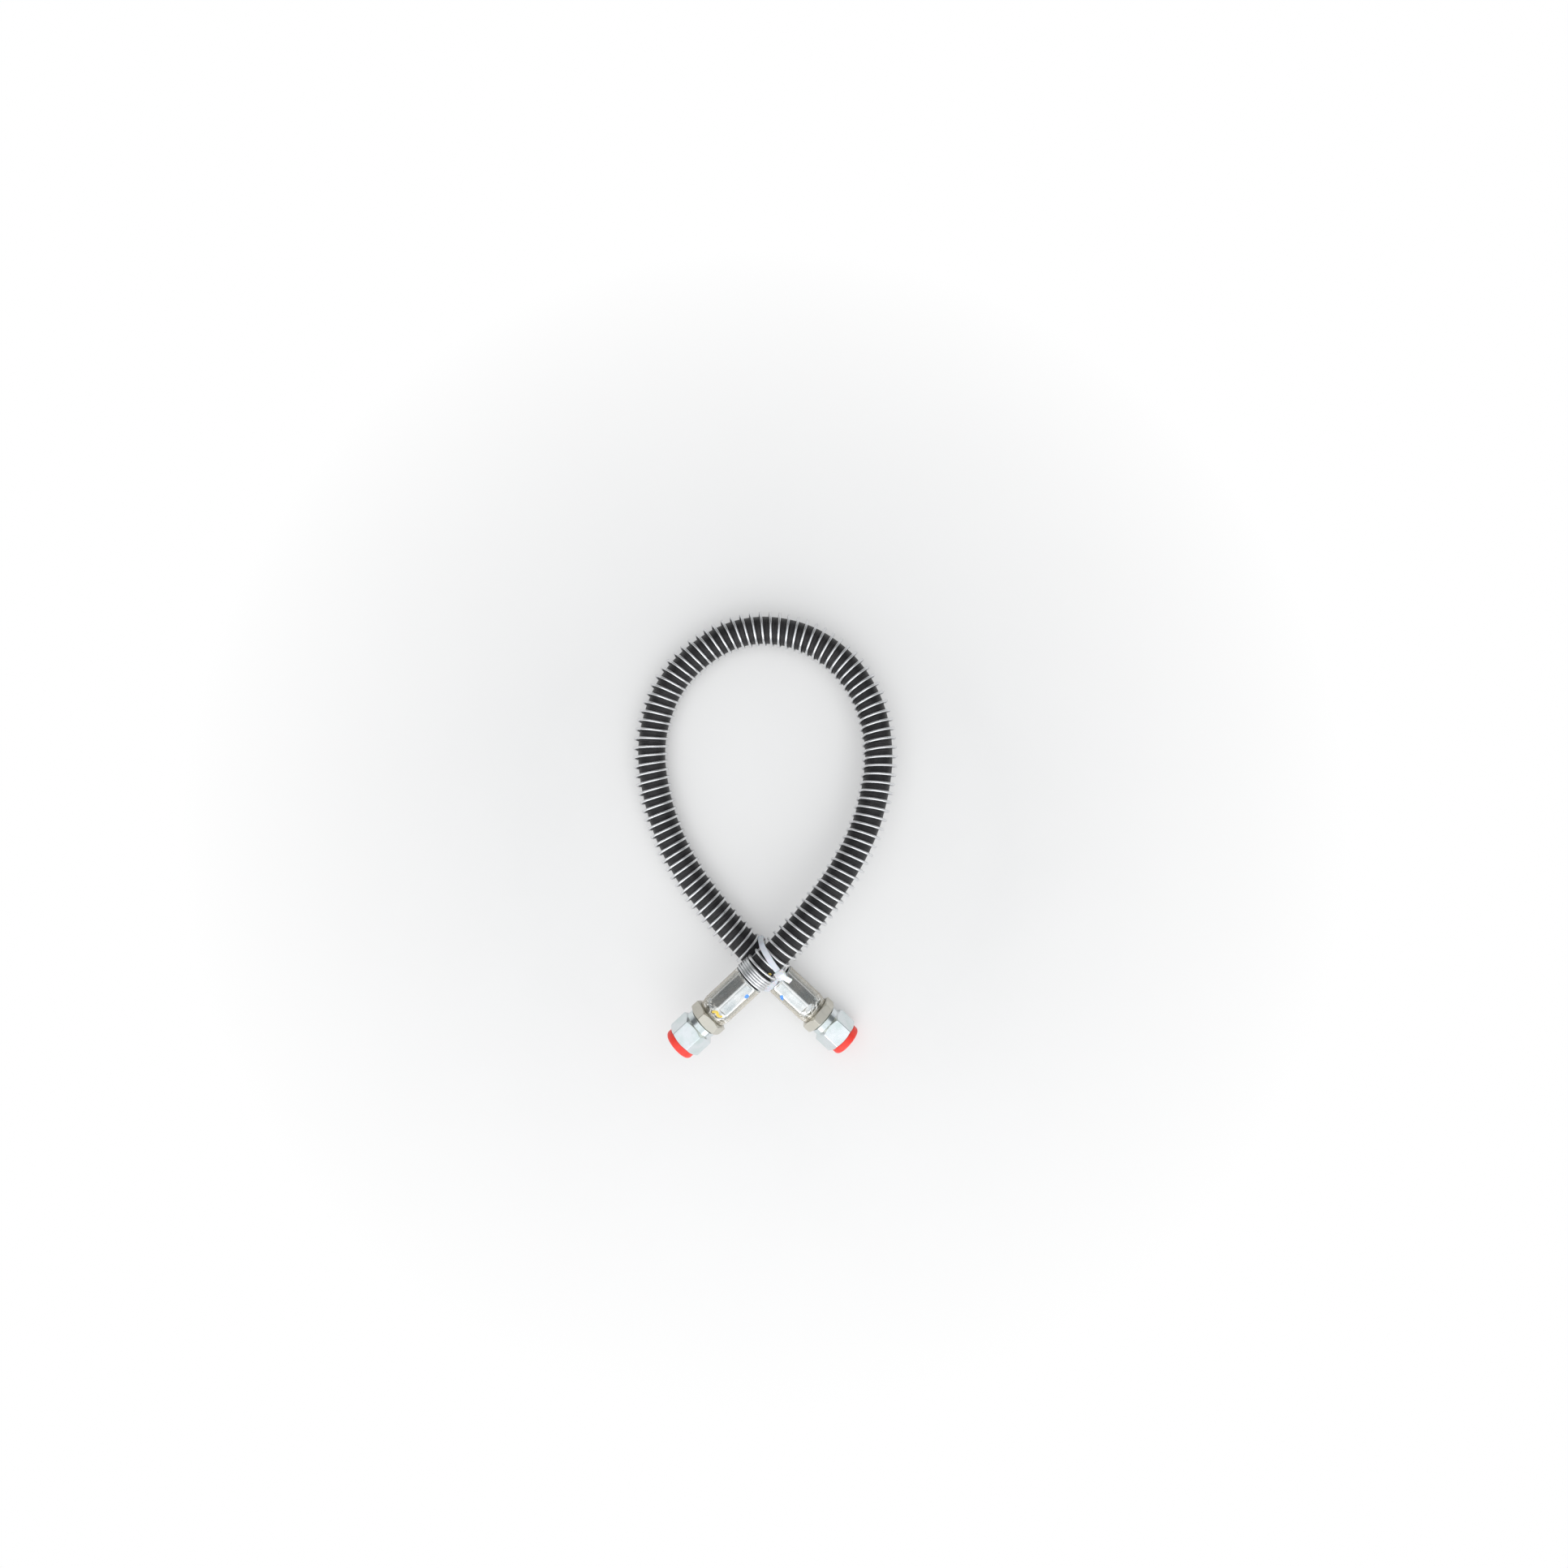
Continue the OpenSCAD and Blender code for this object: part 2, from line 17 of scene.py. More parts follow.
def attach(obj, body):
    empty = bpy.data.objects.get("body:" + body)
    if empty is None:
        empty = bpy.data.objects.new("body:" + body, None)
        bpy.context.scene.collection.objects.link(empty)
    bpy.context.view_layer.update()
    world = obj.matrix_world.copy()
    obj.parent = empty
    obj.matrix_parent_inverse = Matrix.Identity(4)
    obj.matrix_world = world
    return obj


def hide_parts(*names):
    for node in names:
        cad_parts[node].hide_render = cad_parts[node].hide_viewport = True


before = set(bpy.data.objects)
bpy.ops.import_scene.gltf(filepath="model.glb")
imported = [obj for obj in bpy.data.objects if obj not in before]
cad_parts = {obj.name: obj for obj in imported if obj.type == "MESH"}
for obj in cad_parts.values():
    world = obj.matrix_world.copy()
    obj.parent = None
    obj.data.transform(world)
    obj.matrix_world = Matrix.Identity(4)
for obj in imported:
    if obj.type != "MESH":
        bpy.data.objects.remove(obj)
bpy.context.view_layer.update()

bl_info = {
    "name": "Spring-guarded hose assembly",
    "version": (1, 0, 0),
    "blender": (4, 5, 0),
    "location": "3D View > Sidebar > Hose",
    "description": "Builds the finished pieces of a spring-guarded hydraulic hose",
    "category": "Add Mesh",
}

MM = 0.001

# ---------------------------------------------------------------- places in mm
# Each ferrule's mouth, the direction of its fitting in degrees from +X, and how far the
# hexagons, the nuts and the crimp's flats are turned about the fitting
MOUTHS = {"a": (12.0, -116.0, 15.7), "b": (-11.0, -110.5, 44.6)}
ANGLES = {"a": -43.0, "b": -137.0}
HEX_TURNS = {"a": -19.0, "b": -6.0}
NUT_TURNS = {"a": -6.0, "b": 12.0}
FLAT_TURNS = {"a": 16.5, "b": 28.5}
# Lengths of the hose held in a ferrule and straight in front of it, and how far past its end
# the point lies that only guides the curve
GRIP, STRAIGHT_END, RUN_ON = 32.0, 14.0, 10.0
# How far the loose hose sags in its guard, over how long a stretch it starts to lean and
# sag, and its radius under the crimp
SAG, LEAN_OVER, GRIPPED_R = 0.5, 90.0, 10.3
# Air between the guard and the mouths, and between two close turns of its wire
END_AIR, TURN_AIR = 0.3, 0.02
# Sides of the hose and of the wire, and rings of the wire in each turn
HOSE_SIDES, WIRE_SIDES, TURN_STEPS = 44, 12, 36
# Height of the hose's axis where its guard rests on the floor
REST_Z = 13.705
LOOP = [
    (-11, -94.5, 15.7), (-35, -68, 15.2), (-62, -32, 14.4), (-81, 7, REST_Z + 0.1),
    (-91, 50, REST_Z), (-90, 84, REST_Z), (-78, 117, REST_Z), (-57, 142, REST_Z),
    (-28, 160, REST_Z), (3, 165, REST_Z + 0.4), (36, 157, 15.6), (64, 137, 18),
    (83, 108, 21.5), (91, 76, 25.5), (90, 44, 29.5), (80, 6, 34.5),
    (61, -30, 39), (36, -63, 42.5), (14, -87, 44.4),
]


def way_of(end):
    """Direction in which an end's fitting points."""
    a = math.radians(ANGLES[end])
    return np.array([math.cos(a), math.sin(a), 0.0])


def unit(v):
    """Vectors of length one along the last axis."""
    return v / np.maximum(np.linalg.norm(v, axis=-1, keepdims=True), 1e-12)


def smooth_step(x, low, high):
    """0 below low, 1 above high and a smooth rise between them."""
    t = np.clip((np.asarray(x, float) - low) / (high - low), 0, 1)
    return t * t * (3 - 2 * t)


def run_along(points):
    """How far along a line each of its points is."""
    steps = np.linalg.norm(np.diff(points, axis=0), axis=1)
    return np.concatenate([[0.0], np.cumsum(steps)])


def soft_least(a, b, sharpness):
    """Lesser of two values, with the corner between them rounded off."""
    return -np.logaddexp(-a * sharpness, -b * sharpness) / sharpness


def curve_through(points, samples, closed=False):
    """Catmull-Rom curve through the points, without the first and last of an open list."""
    p = np.asarray(points, float)
    if closed:
        p = np.vstack([p[-1:], p, p[:2]])
    t = np.arange(samples)[:, None] / samples
    spans = [
        b + (c - a) * t / 2 + (2 * a - 5 * b + 4 * c - d) * t**2 / 2
        + (3 * b - a - 3 * c + d) * t**3 / 2
        for a, b, c, d in zip(p[:-3], p[1:-2], p[2:-1], p[3:])
    ]
    return np.vstack(spans if closed else [*spans, p[-2:-1]])


class HoseLine:
    """The hose's axis, measured along its length in millimetres."""

    def __init__(self):
        offs = (GRIP + RUN_ON, GRIP, 0, -STRAIGHT_END)
        a, b = ([np.array(MOUTHS[end]) + way_of(end) * off for off in offs] for end in "ab")
        self.line = curve_through([*a, *LOOP, *b[::-1]], 40)
        self.run = run_along(self.line)
        self.length = float(self.run[-1])

    def at(self, s):
        """Places at lengths s."""
        return np.stack([np.interp(s, self.run, self.line[:, k]) for k in range(3)], -1)

    def ways(self, s):
        """Directions ahead, towards the inside of the bend, and down, at lengths s."""
        ahead = unit(self.at(s + 1.5) - self.at(s - 1.5))
        aside = unit(np.cross(ahead, [0.0, 0.0, 1.0]))
        return ahead, aside, np.cross(ahead, aside)

    def away_from_mouths(self, s, over):
        """0 at both ferrules' mouths, rising to 1 at that distance from them."""
        return smooth_step(np.minimum(s - GRIP, self.length - GRIP - s), 0, over)


HOSE = HoseLine()


# ------------------------------------------------------------------ settings
def length(label, text, default, low, high):
    """A length in metres that a user may change."""
    return bpy.props.FloatProperty(
        name=label, description=text, default=default, min=low, max=high, unit="LENGTH")


def colour(label, text, default):
    """A colour that a user may change."""
    return bpy.props.FloatVectorProperty(
        name=label, description=text, default=default, min=0, max=1, subtype="COLOR")


class HoseSettings(bpy.types.PropertyGroup):
    """Sizes and colours of the rubber hose."""

    diameter: length("Hose diameter", "Outside diameter of the rubber cover",
                     0.0216, 0.018, 0.024)
    lean: length("Lean inwards", "How far the hose lies towards the inside of the bend",
                 0.0008, 0.0, 0.0009)
    cover: colour("Cover", "Colour of the rubber cover", (0.003, 0.003, 0.004))
    bloom: colour("Bloom", "Grey bloom and dust on the rubber", (0.075, 0.070, 0.073))


class GuardSettings(bpy.types.PropertyGroup):
    """Sizes and colour of the spring guard."""

    wire: length("Wire diameter", "Diameter of the spring's wire", 0.002, 0.0016, 0.0022)
    radius: length("Mean radius", "Radius of the turns, to the middle of the wire",
                   0.0129, 0.0125, 0.0131)
    pitch: length("Open pitch", "Distance between two open turns", 0.00685, 0.005, 0.008)
    start_angle: bpy.props.FloatProperty(
        name="Start angle", description="Where the wire starts at end A",
        default=math.radians(110), min=-math.pi, max=math.pi, subtype="ANGLE")
    shut_turns: bpy.props.IntProperty(
        name="Close turns", description="Touching turns at each end", default=5, min=2, max=8)
    steel: colour("Wire", "Colour of the plated wire", (0.87, 0.875, 0.885))


class FittingSettings(bpy.types.PropertyGroup):
    """Sizes and colours of the two fittings."""

    corner: length("Corner wear", "How far the hexagons' corners are rounded off",
                   0.00014, 0.0, 0.0006)
    ridge: length("Crimp seam", "Height of the thin seam along each ridge of the crimp",
                  0.00007, 0.0, 0.00009)
    ferrule: colour("Ferrule", "Colour of the ferrules' zinc plating", (0.84, 0.86, 0.86))
    stem: colour("Stem", "Colour of the stems' zinc-nickel plating", (0.70, 0.67, 0.585))
    nut: colour("Nut", "Colour of the nuts' blue-white zinc plating", (0.80, 0.84, 0.86))


class TrimSettings(bpy.types.PropertyGroup):
    """Colours of the plastic pieces and the paint marks."""

    sleeve: colour("Sleeve", "Cast of the clear sleeves", (0.60, 0.55, 0.46))
    plug: colour("Plug", "Colour of the dust plugs", (0.93, 0.062, 0.038))
    tie: colour("Tie", "Colour of the nylon cable tie", (0.86, 0.87, 0.90))
    blue_paint: colour("Blue mark", "Colour of the blue paint marks", (0.085, 0.32, 0.83))
    yellow_paint: colour("Yellow mark", "Colour of the yellow paint marks", (0.80, 0.58, 0.07))


class StageSettings(bpy.types.PropertyGroup):
    """Camera, floor and lamps."""

    height: length("Camera height", "Height of the camera above the floor", 0.7, 0.3, 3.0)
    lens: bpy.props.FloatProperty(
        name="Lens", description="Focal length on a 36 mm sensor", default=19.51, min=10,
        max=100, unit="CAMERA")
    floor: colour("Floor", "Colour of the floor", (0.76, 0.76, 0.757))
    key: bpy.props.FloatProperty(
        name="Key lamp", description="Power of the large lamp in front", default=11.0, min=0,
        unit="POWER")
    top: bpy.props.FloatProperty(
        name="Top lamp", description="Power of the lamp overhead", default=12.0, min=0,
        unit="POWER")
    room: bpy.props.FloatProperty(
        name="Room light", description="Level of the even light all round", default=0.58, min=0)


SETTINGS = {
    "hose_settings": HoseSettings,
    "guard_settings": GuardSettings,
    "fitting_settings": FittingSettings,
    "trim_settings": TrimSettings,
    "stage_settings": StageSettings,
}


# ------------------------------------------------------------- shader groups
class Nodes:
    """Short ways to add and join the nodes of one tree."""

    def __init__(self, tree):
        self.tree = tree

    def add(self, kind, inputs=None, **settings):
        node = self.tree.nodes.new(kind)
        for key, value in settings.items():
            setattr(node, key, value)
        for key, value in (inputs or {}).items():
            self.give(node.inputs[key], value)
        return node

    def give(self, socket, value):
        """Joins a socket to a socket, or sets its own value."""
        if isinstance(value, bpy.types.NodeSocket):
            self.tree.links.new(value, socket)
        elif isinstance(socket.default_value, float):
            socket.default_value = value
        else:
            socket.default_value = (*value, 1.0)[: len(socket.default_value)]

    def math(self, operation, a, b=0.0):
        return self.add("ShaderNodeMath", {0: a, 1: b}, operation=operation).outputs[0]

    def times(self, a, b):
        return self.math("MULTIPLY", a, b)

    def plus(self, a, b):
        return self.math("ADD", a, b)

    def mix(self, share, a, b):
        """Colour a, turning to b as the share goes from 0 to 1."""
        return self.add("ShaderNodeMix", {0: share, 6: a, 7: b}, data_type="RGBA").outputs[2]

    def blend(self, share, a, b):
        """Shader a, turning to b as the share goes from 0 to 1."""
        return self.add("ShaderNodeMixShader", {0: share, 1: a, 2: b}).outputs[0]

    def between(self, value, low, high, out_low=0.0, out_high=1.0):
        """out_low below low, out_high past high and a straight rise between them."""
        return self.add("ShaderNodeMapRange", {
            "Value": value, "From Min": low, "From Max": high,
            "To Min": out_low, "To Max": out_high}).outputs[0]

    def scaled(self, vector, scale):
        node = self.add("ShaderNodeVectorMath", {0: vector, 1: scale}, operation="MULTIPLY")
        return node.outputs[0]

    def parts(self, vector):
        return self.add("ShaderNodeSeparateXYZ", {"Vector": vector}).outputs

    def noise(self, vector, scale, detail=2.0, roughness=0.5, distortion=0.0):
        return self.add("ShaderNodeTexNoise", {
            "Vector": vector, "Scale": scale, "Detail": detail, "Roughness": roughness,
            "Distortion": distortion}).outputs[0]

    def line_noise(self, along, detail, roughness):
        """Noise that changes along one value only."""
        return self.add("ShaderNodeTexNoise", {
            "W": along, "Scale": 1.0, "Detail": detail, "Roughness": roughness},
            noise_dimensions="1D").outputs[0]


class Group(Nodes):
    """A new shader group: a vector, numbers and colours in, and named values out."""

    def __init__(self, name, inputs, outputs):
        super().__init__(bpy.data.node_groups.new(name, "ShaderNodeTree"))
        new_socket = self.tree.interface.new_socket
        new_socket("Vector", in_out="INPUT", socket_type="NodeSocketVector")
        for label, value in inputs.items():
            kind = "NodeSocketFloat" if isinstance(value, float) else "NodeSocketColor"
            new_socket(label, in_out="INPUT", socket_type=kind).default_value = value
        for label in outputs:
            kind = "NodeSocketColor" if label == "Color" else "NodeSocketFloat"
            new_socket(label, in_out="OUTPUT", socket_type=kind)
        self.given = self.add("NodeGroupInput").outputs
        self.out = self.add("NodeGroupOutput").inputs

    def put_out(self, **values):
        for label, value in values.items():
            self.give(self.out[label], value)


def plating_group():
    """Cloudy plating with scuffs: the colour drifts to a tint, and scuffs are rougher."""
    n = Group(
        "Plating",
        {"Metal": (0.8, 0.8, 0.8, 1), "Tint": (0.7, 0.8, 0.8, 1), "Drift": 0.5,
         "Cloud Scale": 90.0, "Scuffs": 0.5, "Polish": 0.3},
        ("Color", "Roughness", "Height"))
    given, place = n.given, n.given["Vector"]
    cloud = n.noise(place, given["Cloud Scale"], 3.0, 0.6)
    fine = n.noise(place, 2600.0, 2.0, 0.6)
    streaks = n.noise(n.scaled(place, (0.4, 1.6, 1.6)), 260.0, 5.0, 0.7, 0.6)
    scuff = n.times(n.between(streaks, 0.56, 0.74), given["Scuffs"])
    drift = n.times(n.between(cloud, 0.35, 0.68), given["Drift"])
    tinted = n.mix(drift, given["Metal"], given["Tint"])
    darkened = n.mix(n.times(scuff, 0.22), tinted, (0.36, 0.36, 0.35))
    grain = n.mix(n.between(fine, 0.3, 0.8, 0.0, 0.10), darkened, (0.22, 0.22, 0.23))
    rough = n.plus(given["Polish"], n.times(scuff, 0.18))
    rough = n.plus(rough, n.between(cloud, 0.3, 0.7, -0.04, 0.05))
    height = n.plus(n.times(fine, 0.35), n.times(streaks, 0.65))
    n.put_out(Color=grain, Roughness=rough, Height=height)


def turned_marks_group():
    """Fine rings that a lathe leaves round the X axis, as a height."""
    n = Group("Turned marks", {"Rings": 2500.0, "Strength": 1.0}, ["Height"])
    along = n.times(n.parts(n.given["Vector"])["X"], n.given["Rings"])
    n.put_out(Height=n.times(n.line_noise(along, 3.0, 0.7), n.given["Strength"]))


def dust_group():
    """Loose specks and a thin film, as a mask."""
    n = Group("Dust", {"Specks": 0.5, "Film": 0.3}, ["Mask"])
    place = n.given["Vector"]
    speck = n.between(n.noise(place, 1500.0, 2.0, 0.7), 0.62, 0.74)
    film = n.between(n.noise(place, 130.0, 4.0, 0.65), 0.40, 0.75)
    both = n.plus(n.times(speck, n.given["Specks"]), n.times(film, n.given["Film"]))
    n.put_out(Mask=n.math("MINIMUM", both, 1.0))


# Metres between two weft threads of the wrapping cloth, and warp threads round the hose
WEFT_STEP, WARP_THREADS = 0.00055, 110.0


def cloth_wrap_group():
    """Imprint of the wrapping cloth on a cured hose: bands that run round, and a fine weave.

    The vector is the place on the straightened hose, with Z along it."""
    n = Group("Cloth wrap", {"Bands": 900.0, "Weave": 1.0}, ["Height", "Tone"])
    place = n.given["Vector"]
    parts = n.parts(place)
    along = n.plus(parts["Z"], n.times(n.noise(place, 220.0), 0.0009))
    bands = n.line_noise(n.times(along, n.given["Bands"]), 2.0, 0.75)
    angle = n.math("ARCTAN2", parts["Y"], parts["X"])
    weft = n.math("SINE", n.times(parts["Z"], 2 * math.pi / WEFT_STEP))
    warp = n.math("SINE", n.times(angle, WARP_THREADS))
    weave = n.times(n.times(weft, warp), n.given["Weave"])
    n.put_out(Height=n.plus(n.times(bands, 0.8), n.times(weave, 0.10)),
              Tone=n.between(bands, 0.32, 0.70))


def moulded_group():
    """Faint orange-peel and flow marks of moulded plastic, as height and tone."""
    n = Group("Moulded skin", {"Peel": 1.0}, ["Height", "Tone"])
    place = n.given["Vector"]
    flow = n.noise(n.scaled(place, (0.4, 1.0, 1.0)), 160.0, 3.0, 0.6)
    n.put_out(Height=n.times(n.noise(place, 900.0), n.given["Peel"]),
              Tone=n.between(flow, 0.3, 0.7))


GROUP_MAKERS = {
    "Plating": plating_group, "Turned marks": turned_marks_group, "Dust": dust_group,
    "Cloth wrap": cloth_wrap_group, "Moulded skin": moulded_group,
}


# ----------------------------------------------------------------- materials
class Finish(Nodes):
    """A new material with its surface shader and ways to dress it."""

    def __init__(self, name, **sockets):
        self.material = bpy.data.materials.new(name)
        self.material.use_nodes = True
        super().__init__(self.material.node_tree)
        self.tree.nodes.clear()
        self.surface = self.add("ShaderNodeOutputMaterial").inputs["Surface"]
        self.shader = self.add("ShaderNodeBsdfPrincipled")
        self.give(self.surface, self.shader.outputs[0])
        self.dress(**sockets)

    def fill(self, node, sockets):
        for label, value in sockets.items():
            self.give(node.inputs[label.replace("_", " ")], value)
        return node

    def dress(self, **sockets):
        """Gives the shader's own sockets their values."""
        self.fill(self.shader, sockets)

    def group(self, name, **inputs):
        """Places a shader group, and returns what it puts out."""
        if name not in bpy.data.node_groups:
            GROUP_MAKERS[name]()
        node = self.add("ShaderNodeGroup", node_tree=bpy.data.node_groups[name])
        return self.fill(node, inputs).outputs

    def own_place(self):
        return self.add("ShaderNodeTexCoord").outputs["Object"]

    def straight_place(self):
        return self.add("ShaderNodeAttribute", attribute_name="straight").outputs["Vector"]

    def bump(self, height, distance, strength=1.0):
        node = self.add("ShaderNodeBump", {
            "Height": height, "Distance": distance, "Strength": strength})
        self.dress(Normal=node.outputs[0])


def rubber_cover(settings):
    f = Finish("Cover rubber", Specular_IOR_Level=0.42)
    place = f.straight_place()
    wrap = f.group("Cloth wrap", Vector=place, Bands=1300.0, Weave=1.0)
    dust = f.group("Dust", Vector=place, Specks=0.45, Film=0.45)["Mask"]
    lines = f.between(wrap["Tone"], 0.45, 0.95)
    patches = f.between(f.noise(place, 55.0, 3.0, 0.6), 0.40, 0.66, 0.15, 0.75)
    toned = f.mix(f.times(lines, patches), settings.cover, settings.bloom)
    f.dress(Base_Color=f.mix(f.times(dust, 0.5), toned, settings.bloom),
            Roughness=f.between(wrap["Tone"], 0.0, 1.0, 0.30, 0.46))
    grit = f.times(f.noise(place, 950.0, 2.0, 0.6), 1.1)
    f.bump(f.plus(wrap["Height"], grit), 0.00030, 0.8)
    return f.material


def plain_rubber():
    f = Finish("Tube rubber", Specular_IOR_Level=0.4)
    dust = f.group("Dust", Vector=f.own_place(), Specks=0.3, Film=0.4)["Mask"]
    f.dress(Base_Color=f.mix(dust, (0.012, 0.012, 0.012), (0.05, 0.05, 0.05)),
            Roughness=f.between(dust, 0, 1, 0.5, 0.75))
    f.bump(dust, 0.00005)
    return f.material


def braid_steel():
    f = Finish("Braid wire", Metallic=1.0)
    place = f.own_place()
    wires = f.add("ShaderNodeTexWave", {"Vector": place, "Scale": 900.0, "Distortion": 2.0},
                  bands_direction="DIAGONAL").outputs["Fac"]
    plate = f.group("Plating", Vector=place, Metal=(0.62, 0.55, 0.40), Tint=(0.5, 0.45, 0.36),
                    Polish=0.35)
    shade = f.between(wires, 0.0, 1.0, 0.6, 0.0)
    f.dress(Base_Color=f.mix(shade, plate["Color"], (0.10, 0.09, 0.07)),
            Roughness=plate["Roughness"])
    f.bump(wires, 0.0002)
    return f.material


def spring_wire(settings):
    f = Finish("Spring wire", Metallic=1.0)
    place = f.straight_place()
    tint = tuple(c * 0.88 for c in settings.steel)
    plate = f.group("Plating", Vector=place, Metal=settings.steel, Tint=tint, Drift=0.6,
                    Cloud_Scale=260.0, Scuffs=0.4, Polish=0.30)
    f.dress(Base_Color=plate["Color"], Roughness=plate["Roughness"])
    drawn = f.noise(f.scaled(place, (3000.0, 3000.0, 90.0)), 1.0, 3.0, 0.6)
    f.bump(drawn, 0.00004, 0.7)
    return f.material


def plated_metal(name, metal, tint, polish, drift=0.5, scuffs=0.5, rings=2600.0, depth=0.00003,
                 turned=1.0, ridges=False):
    """Plating with the rings of the lathe, and a painted highlight along the crimp's ridges."""
    f = Finish(name, Metallic=1.0)
    place = f.own_place()
    plate = f.group("Plating", Vector=place, Metal=metal, Tint=tint, Drift=drift,
                    Scuffs=scuffs, Polish=polish)
    marks = f.group("Turned marks", Vector=place, Rings=rings, Strength=turned)["Height"]
    base, rough = plate["Color"], plate["Roughness"]
    if ridges:
        # Painted highlight: the metal is painted near-white and made smoother along the crimp's
        # ridges
        ridge_highlight = f.add("ShaderNodeAttribute", attribute_name="ridge").outputs["Fac"]
        base = f.mix(f.times(ridge_highlight, 0.85), base, (0.97, 0.97, 0.96))
        rough = f.math("SUBTRACT", rough, f.times(ridge_highlight, 0.08))
    f.dress(Base_Color=base, Roughness=rough)
    f.bump(f.plus(f.times(plate["Height"], 0.6), marks), depth, 0.8)
    return f.material


def clear_film(cast):
    """Clear shrunk sleeve: mostly see-through, with gloss, a cast that gathers at its edges, and
    painted highlights along its creases.
    """
    f = Finish("Clear sleeve", IOR=1.45, Specular_IOR_Level=0.5, Roughness=0.12)
    place = f.own_place()
    skin = f.group("Moulded skin", Vector=place, Peel=1.0)
    crumple = f.noise(f.scaled(place, (1.5, 1.0, 1.0)), 210.0, 2.0, 0.6, 1.2)
    along = f.parts(place)["X"]
    neck = f.times(f.between(along, 0.0295, 0.0325), f.between(along, 0.0392, 0.0370))
    mouth = f.between(along, 0.0035, 0.0015)
    folded = f.math("MAXIMUM", neck, f.times(mouth, 0.7))
    creases_and_highlights = f.times(f.between(crumple, 0.53, 0.62), folded)
    haze = f.mix(skin["Tone"], cast, tuple(min(1.0, c * 1.3) for c in cast))
    # Painted highlight: the creases are painted near-white and, below, made less see-through;
    # their bump is real relief
    f.dress(Base_Color=f.mix(creases_and_highlights, haze, (0.97, 0.97, 0.95)))
    f.bump(f.plus(f.times(skin["Height"], 0.5), creases_and_highlights), 0.00025, 0.6)
    facing = f.add("ShaderNodeLayerWeight", {"Blend": 0.5}).outputs["Facing"]
    rim = f.times(f.between(facing, 0.26, 0.95), 0.75)
    film = f.plus(rim, f.between(skin["Tone"], 0, 1, 0.015, 0.06))
    film = f.plus(film, f.times(creases_and_highlights, 0.70))
    f.dress(Alpha=f.math("MINIMUM", film, 0.85))
    f.material.surface_render_method = "BLENDED"
    return f.material


def moulded_plastic(name, pale, deep, roughness, scatter):
    f = Finish(name, Specular_IOR_Level=0.5, Subsurface_Weight=scatter, Subsurface_Scale=0.002)
    place = f.own_place()
    skin = f.group("Moulded skin", Vector=place, Peel=1.0)
    dust = f.group("Dust", Vector=place, Specks=0.25, Film=0.25)["Mask"]
    toned = f.mix(skin["Tone"], pale, deep)
    f.dress(Base_Color=f.mix(f.times(dust, 0.16), toned, tuple(0.6 * c + 0.3 for c in pale)),
            Roughness=f.between(dust, 0, 1, roughness, roughness + 0.15))
    f.bump(skin["Height"], 0.00006, 0.6)
    return f.material


def paint_mark(name, paint):
    f = Finish(name, Specular_IOR_Level=0.4)
    patchy = f.noise(f.own_place(), 1400.0, 3.0, 0.6)
    thin = tuple(0.55 * c + 0.40 for c in paint)
    f.dress(Base_Color=f.mix(f.between(patchy, 0.45, 0.75, 0.0, 0.55), paint, thin),
            Roughness=f.between(patchy, 0.3, 0.7, 0.35, 0.6))
    f.bump(patchy, 0.00004)
    return f.material


def floor_finish(pale):
    """Pale floor that the camera sees fade to plain white away from the middle."""
    f = Finish("Floor", Specular_IOR_Level=0.2)
    place = f.own_place()
    mottle = f.noise(place, 7.0, 4.0, 0.6)
    darker = tuple(c * 0.975 for c in pale)
    f.dress(Base_Color=f.mix(f.between(mottle, 0.3, 0.7), pale, darker),
            Roughness=f.between(mottle, 0.3, 0.7, 0.55, 0.65))
    far = f.add("ShaderNodeVectorMath", {0: place}, operation="LENGTH").outputs["Value"]
    share = f.times(f.between(far, 0.20, 0.48, 0.25, 1.0),
                    f.add("ShaderNodeLightPath").outputs["Is Camera Ray"])
    white = f.add("ShaderNodeEmission", {"Color": (1.0, 1.0, 1.0), "Strength": 1.0})
    f.give(f.surface, f.blend(share, f.shader.outputs[0], white.outputs[0]))
    return f.material


# -------------------------------------------------------------- mesh helpers
def new_piece(name, points, faces, material, smooth_angle=30.0, straight=None, outward=False):
    """A mesh object from points in metres, with edges sharper than the angle kept sharp.

    straight gives each point's place on the straightened hose, and outward turns every
    face to the outside."""
    mesh = bpy.data.meshes.new(name)
    mesh.from_pydata([tuple(p) for p in points], [], faces)
    if straight is not None:
        place = mesh.attributes.new("straight", "FLOAT_VECTOR", "POINT")
        place.data.foreach_set("vector", straight.astype(np.float32).ravel())
    tidy = bmesh.new()
    tidy.from_mesh(mesh)
    bmesh.ops.remove_doubles(tidy, verts=tidy.verts, dist=1e-6)
    bmesh.ops.dissolve_degenerate(tidy, edges=tidy.edges, dist=1e-7)
    if outward:
        bmesh.ops.recalc_face_normals(tidy, faces=tidy.faces)
    tidy.to_mesh(mesh)
    tidy.free()
    mesh.polygons.foreach_set("use_smooth", [True] * len(mesh.polygons))
    mesh.set_sharp_from_angle(angle=math.radians(smooth_angle))
    mesh.validate()
    mesh.update()
    piece = bpy.data.objects.new(name, mesh)
    bpy.context.scene.collection.objects.link(piece)
    mesh.materials.append(material)
    return piece


def grid_faces(rows, columns, rows_close, columns_close):
    """Quads over a grid of points, row by row."""
    faces = []
    for i in range(rows if rows_close else rows - 1):
        for j in range(columns if columns_close else columns - 1):
            a, b = i * columns, ((i + 1) % rows) * columns
            k = (j + 1) % columns
            faces.append((a + j, b + j, b + k, a + k))
    return faces


def round_x(x, r, angle):
    """Points at x and radius r, turned about +X by that many degrees from +Z."""
    a = np.radians(np.asarray(angle, float))
    return np.stack([x, -r * np.sin(a), r * np.cos(a)], -1).reshape(-1, 3)


